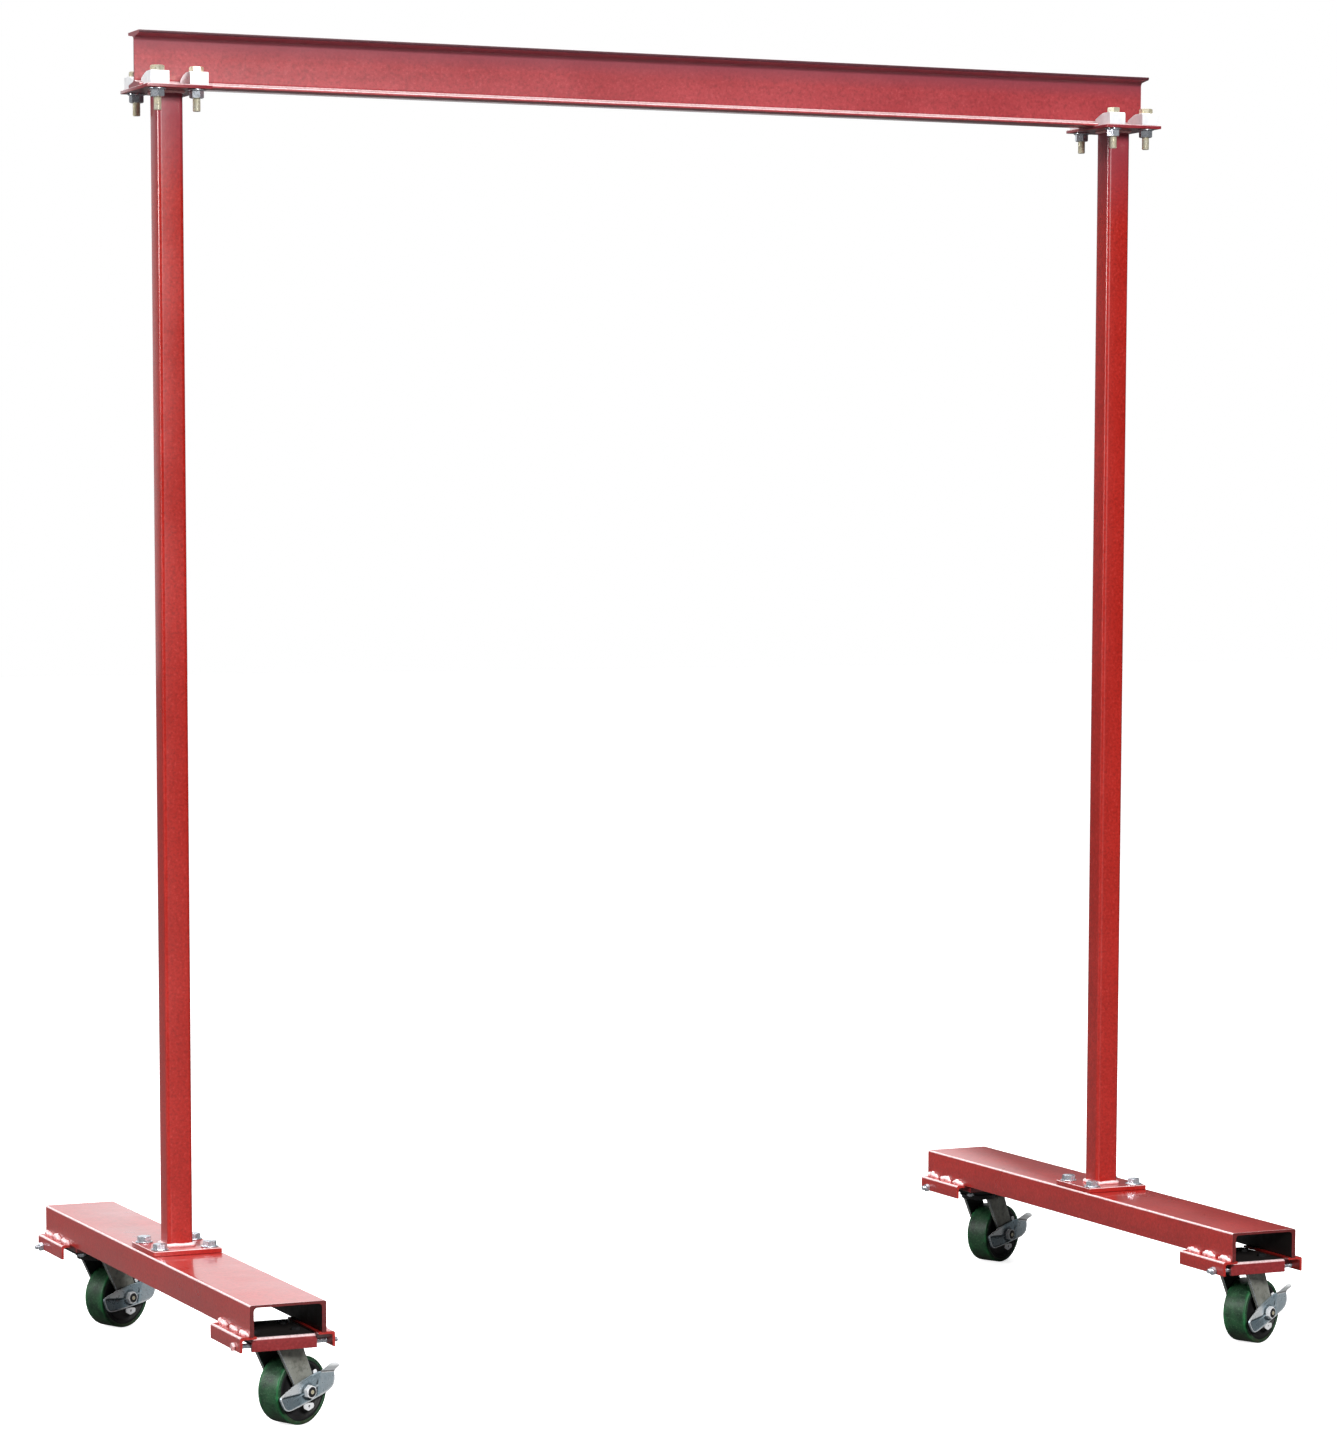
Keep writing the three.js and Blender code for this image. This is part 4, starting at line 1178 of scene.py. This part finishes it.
def make_lever(corner):
    outer = LEVER_FACE / MM
    outline = lever_outline()
    count = len(outline)
    steps = 26
    bm = bmesh.new()
    edges = []
    for back in (0, 1):
        rings = []
        for k in range(steps + 1):
            share = SPINE_SHARE * (k / steps) ** 1.15
            ring = []
            for p in outline:
                spine = Vector((max(-46.0, min(48.0, p.x * 0.8)), 1.0 + 0.03 * p.x))
                q = p.lerp(spine, share)
                y = outer + lever_relief(q.x, q.y, share) + back * LEVER_THICK
                ring.append(bm.verts.new(Vector((q.x, y, q.y)) * MM))
            rings.append(ring)
        for one, two in zip(rings, rings[1:]):
            for i in range(count):
                j = (i + 1) % count
                bm.faces.new((one[i], one[j], two[j], two[i]))
        edges.append(rings[0])
        # the innermost ring is a thin strip along the spine
        bmesh.ops.triangulate(bm, faces=[bm.faces.new(rings[-1])])
    front, rear = edges
    for i in range(count):
        j = (i + 1) % count
        bm.faces.new((front[i], front[j], rear[j], rear[i]))
    bmesh.ops.recalc_face_normals(bm, faces=bm.faces)
    bm = drilled(bm, [(0, 0, AXLE_HOLE)], LEVER_FACE - 0.02, LEVER_FACE + 0.015, "y")
    add_top_flange(bm, outline, outer + 1.2)
    # the foot tab near-white: partly rubbed by the foot, partly painted highlight
    first = len(bm.faces)
    add_foot_tab(bm, outer)
    paint_faces(bm, first, 1)
    root, tip = Vector(SHOULDER), Vector(TAIL_TOP)
    along = (tip - root).normalized()

    def shade(point):
        """Painted shade: dark in the creases, round the nut, and where the foot tab leaves the face."""
        x, depth, h = point.x / MM, point.y / MM - outer, point.z / MM
        r = math.hypot(x, h)
        off = Vector((x, h)) - root
        above = along.x * off.y - along.y * off.x
        tab_root = (1 - smooth(1.0, 2.4, abs(above))) * smooth(-2, 0, off.dot(along))
        fold = lever_fold(x, h)
        line = (1 - smooth(1.0, 2.4, abs(fold + 0.4))) * smooth(-69, -64, x) * (1 - smooth(-17, -12, x))
        pocket = 0.5 * (1 - smooth(-4, -1, fold)) * (1 - smooth(-26, -14, x)) * smooth(0.6, 1.6, depth)
        crease = 1 - smooth(1.2, 3.0, abs(lever_bend(x, h)))
        crease *= (1 - smooth(6, 15, h)) * smooth(0.5, 1.5, depth)
        ring = smooth(11.6, 12.6, r) * (1 - smooth(15.2, 17.2, r))
        ring *= 0.55 + 0.45 * smooth(10, -4, x + h)
        return max(line, pocket, crease, ring, tab_root)

    # painted highlight on the shelf along the nose's top and on the raised rim round the nut
    def bright(point):
        x, depth, h = point.x / MM, point.y / MM - outer, point.z / MM
        shelf = 0.8 * smooth(1.5, 3.5, lever_fold(x, h)) * (1 - smooth(-30, -5, x))
        rim = (1 - smooth(-0.2, 0.5, depth)) * smooth(13, 15, math.hypot(x, h))
        return max(rim, shelf)

    nodes = [f"brake_lever_{corner}"]
    materials = [lever_zinc, clamp_zinc]
    masks = [("shade", shade), ("bright", bright)]
    body = f"lever_{corner}"
    place = lever_frame(corner)
    piece(f"brake_pedal_{corner}", bm, body, materials, nodes, place, sharp=35, masks=masks)


def add_top_flange(bm, outline, y):
    """The strip turned inwards along the top edge, from the nose to the shoulder."""
    section = ((0, 0.1), (4.6, 0.4), (4.6, 2.8), (0, 2.6))
    top = [p for p in outline[12:52] if -36 < p.x < 17]
    loft(bm, [[Vector((p.x, y + dy, p.y - dz)) * MM for dy, dz in section] for p in top])


def add_foot_tab(bm, outer):
    """The foot tab: a leaf bent up and outwards from the tail's sloping edge."""
    start, stop = Vector(SHOULDER), Vector(TAIL_TOP)
    along = (stop - start).normalized()
    up = Vector((-along.y, along.x))
    length = (stop - start).length
    thick = 2.4
    steps = 20
    rings = []
    for k in range(steps + 1):
        t = k / steps
        rise = -3 + 20 * t
        lean = 12.5 * smooth(0.05, 0.8, t)
        # the leaf's two edges, from the root to a rounded tip over the tail
        tip = math.sqrt(max(0.03, 1 - max(0.0, (t - 0.62) / 0.385) ** 2))
        left = 0.6 - (0.6 - 0.12 * smooth(0.1, 1.0, t)) * tip
        right = 0.6 + 0.4 * tip
        ring = []
        for face in (0, 1):
            shares = [i / 14 for i in range(15)]
            if face:
                shares.reverse()
            for share in shares:
                across = length * (left + share * (right - left))
                cup = 1.3 * t * (1 - (2 * share - 1) ** 2)
                p = start + along * across + up * (rise + (0 if face else 0.6))
                y = outer - lean + (thick if face else 0.0) + cup
                ring.append(Vector((p.x, y, p.y)) * MM)
        rings.append(ring)
    loft(bm, rings)


# ---- Everything ----

make_beam()
for side in SIDES:
    make_post(side)
    clamps = clamp_places(side)
    head = middle_of(f"head_plate_{side}")
    foot = middle_of(f"foot_plate_{side}")
    clamp_holes = [(bolt.x - head.x, bolt.y - head.y) for _, bolt in clamps]
    foot_holes = [(x - foot.x, y - foot.y) for x, y in foot_places(side)]
    make_plate(f"head_plate_{side}", f"head_flange_{side}", side, clamp_holes, CLAMP_HOLE, shaded_plate_red)
    make_plate(f"foot_plate_{side}", f"foot_flange_{side}", side, foot_holes, FOOT_HOLE, base_red)
    make_foot_bolts(side)
    for label, bolt in clamps:
        make_clamp(label, side, bolt)
        make_clamp_bolt(label, side, bolt)
    make_base(side)
for corner in CORNERS:
    side = corner.split("_")[1]
    make_carrier(corner, side)
    make_cross_bolt(corner, side)
    make_caster_plate(corner, side)
    make_fork(corner)
    make_axle(corner)
    make_wheel(corner)
    make_lever(corner)


# ---- Camera, floor and light ----


def make_camera():
    data = bpy.data.cameras.new("camera")
    camera = bpy.data.objects.new("camera", data)
    bpy.context.scene.collection.objects.link(camera)
    camera.location = (-3.5864, -7.8836, 1.6082)
    yaw, pitch = -0.407818, -0.098203
    view = Vector((-math.sin(yaw) * math.cos(pitch), math.cos(yaw) * math.cos(pitch), math.sin(pitch)))
    camera.rotation_euler = view.to_track_quat("-Z", "Y").to_euler()
    data.lens = 108.56
    data.shift_x = 0.0629
    data.shift_y = 0.1672
    bpy.context.scene.camera = camera


FLOOR_LIFT = 0.78  # what brings the floor up to the backdrop's white


def make_floor():
    bm = bmesh.new()
    prism(bm, rectangle(80, 80, 0), -0.05, 0, "z")
    bmesh.ops.recalc_face_normals(bm, faces=bm.faces)
    mesh = bpy.data.meshes.new("floor")
    bm.to_mesh(mesh)
    bm.free()
    # pale to the camera, and greyer as the crane's surroundings, so that little light comes back up
    finish = Finish("pale_floor")
    rays = finish.nodes.new("ShaderNodeLightPath").outputs["Is Camera Ray"]
    grain = finish.level(finish.noise(3, 3), 0.3, 0.7, 0, 0.1)
    grey = finish.mix(grain, (0.12, 0.12, 0.12), (0.14, 0.14, 0.14))
    finish.shader.inputs["Emission Color"].default_value = (1, 1, 1, 1)
    finish.feed(finish.shader.inputs["Emission Strength"], finish.sum(rays, FLOOR_LIFT, "MULTIPLY"))
    mesh.materials.append(finish.done(finish.mix(rays, grey, (0.88, 0.88, 0.88)), 0.9))
    floor = bpy.data.objects.new("floor", mesh)
    bpy.context.scene.collection.objects.link(floor)


def make_light(name, place, aim, size, power):
    data = bpy.data.lights.new(name, "AREA")
    data.shape = "RECTANGLE"
    data.size, data.size_y = size
    data.energy = power
    light = bpy.data.objects.new(name, data)
    light.location = place
    light.rotation_euler = (Vector(aim) - Vector(place)).to_track_quat("-Z", "Y").to_euler()
    bpy.context.scene.collection.objects.link(light)


def make_world():
    """White to the camera. To the rest, bright behind the crane and dim in front and at both sides."""
    world = bpy.data.worlds.new("studio")
    bpy.context.scene.world = world
    world.use_nodes = True
    nodes, links = world.node_tree.nodes, world.node_tree.links
    nodes.clear()
    place = nodes.new("ShaderNodeTexCoord")
    parts = nodes.new("ShaderNodeSeparateXYZ")
    links.new(place.outputs["Generated"], parts.inputs[0])

    def ramp(socket, low, high, to_low, to_high):
        spread = nodes.new("ShaderNodeMapRange")
        spread.interpolation_type = "SMOOTHSTEP"
        for name, value in (("From Min", low), ("From Max", high), ("To Min", to_low), ("To Max", to_high)):
            spread.inputs[name].default_value = value
        links.new(socket, spread.inputs["Value"])
        return spread.outputs[0]

    def times(one, two):
        product = nodes.new("ShaderNodeMath")
        product.operation = "MULTIPLY"
        links.new(one, product.inputs[0])
        links.new(two, product.inputs[1])
        return product.outputs[0]

    behind = ramp(parts.outputs["Y"], -0.7, 0.5, 0.14, 1.15)
    left = ramp(parts.outputs["X"], -0.45, 0.0, 0.12, 1.0)
    right = ramp(parts.outputs["X"], 0.44, 0.50, 1.0, 0.05)
    studio = nodes.new("ShaderNodeBackground")
    studio.inputs["Color"].default_value = (0.97, 0.985, 1, 1)
    links.new(times(times(behind, left), right), studio.inputs["Strength"])
    white = nodes.new("ShaderNodeBackground")
    white.inputs["Color"].default_value = (1, 1, 1, 1)
    rays = nodes.new("ShaderNodeLightPath")
    pick = nodes.new("ShaderNodeMixShader")
    links.new(rays.outputs["Is Camera Ray"], pick.inputs[0])
    links.new(studio.outputs[0], pick.inputs[1])
    links.new(white.outputs[0], pick.inputs[2])
    output = nodes.new("ShaderNodeOutputWorld")
    links.new(pick.outputs[0], output.inputs["Surface"])


make_camera()
make_floor()
make_world()
make_light("key", (-0.9, -12.0, 6.0), (0, 0, 1.2), (2.5, 2.5), 1750)
make_light("side", (-9.0, 1.0, 4.0), (0, 0, 1.0), (3.0, 3.0), 560)
make_light("top", (0.0, 0.5, 8.0), (0, 0, 0), (5.0, 4.0), 480)
bpy.context.scene.view_settings.view_transform = "Standard"
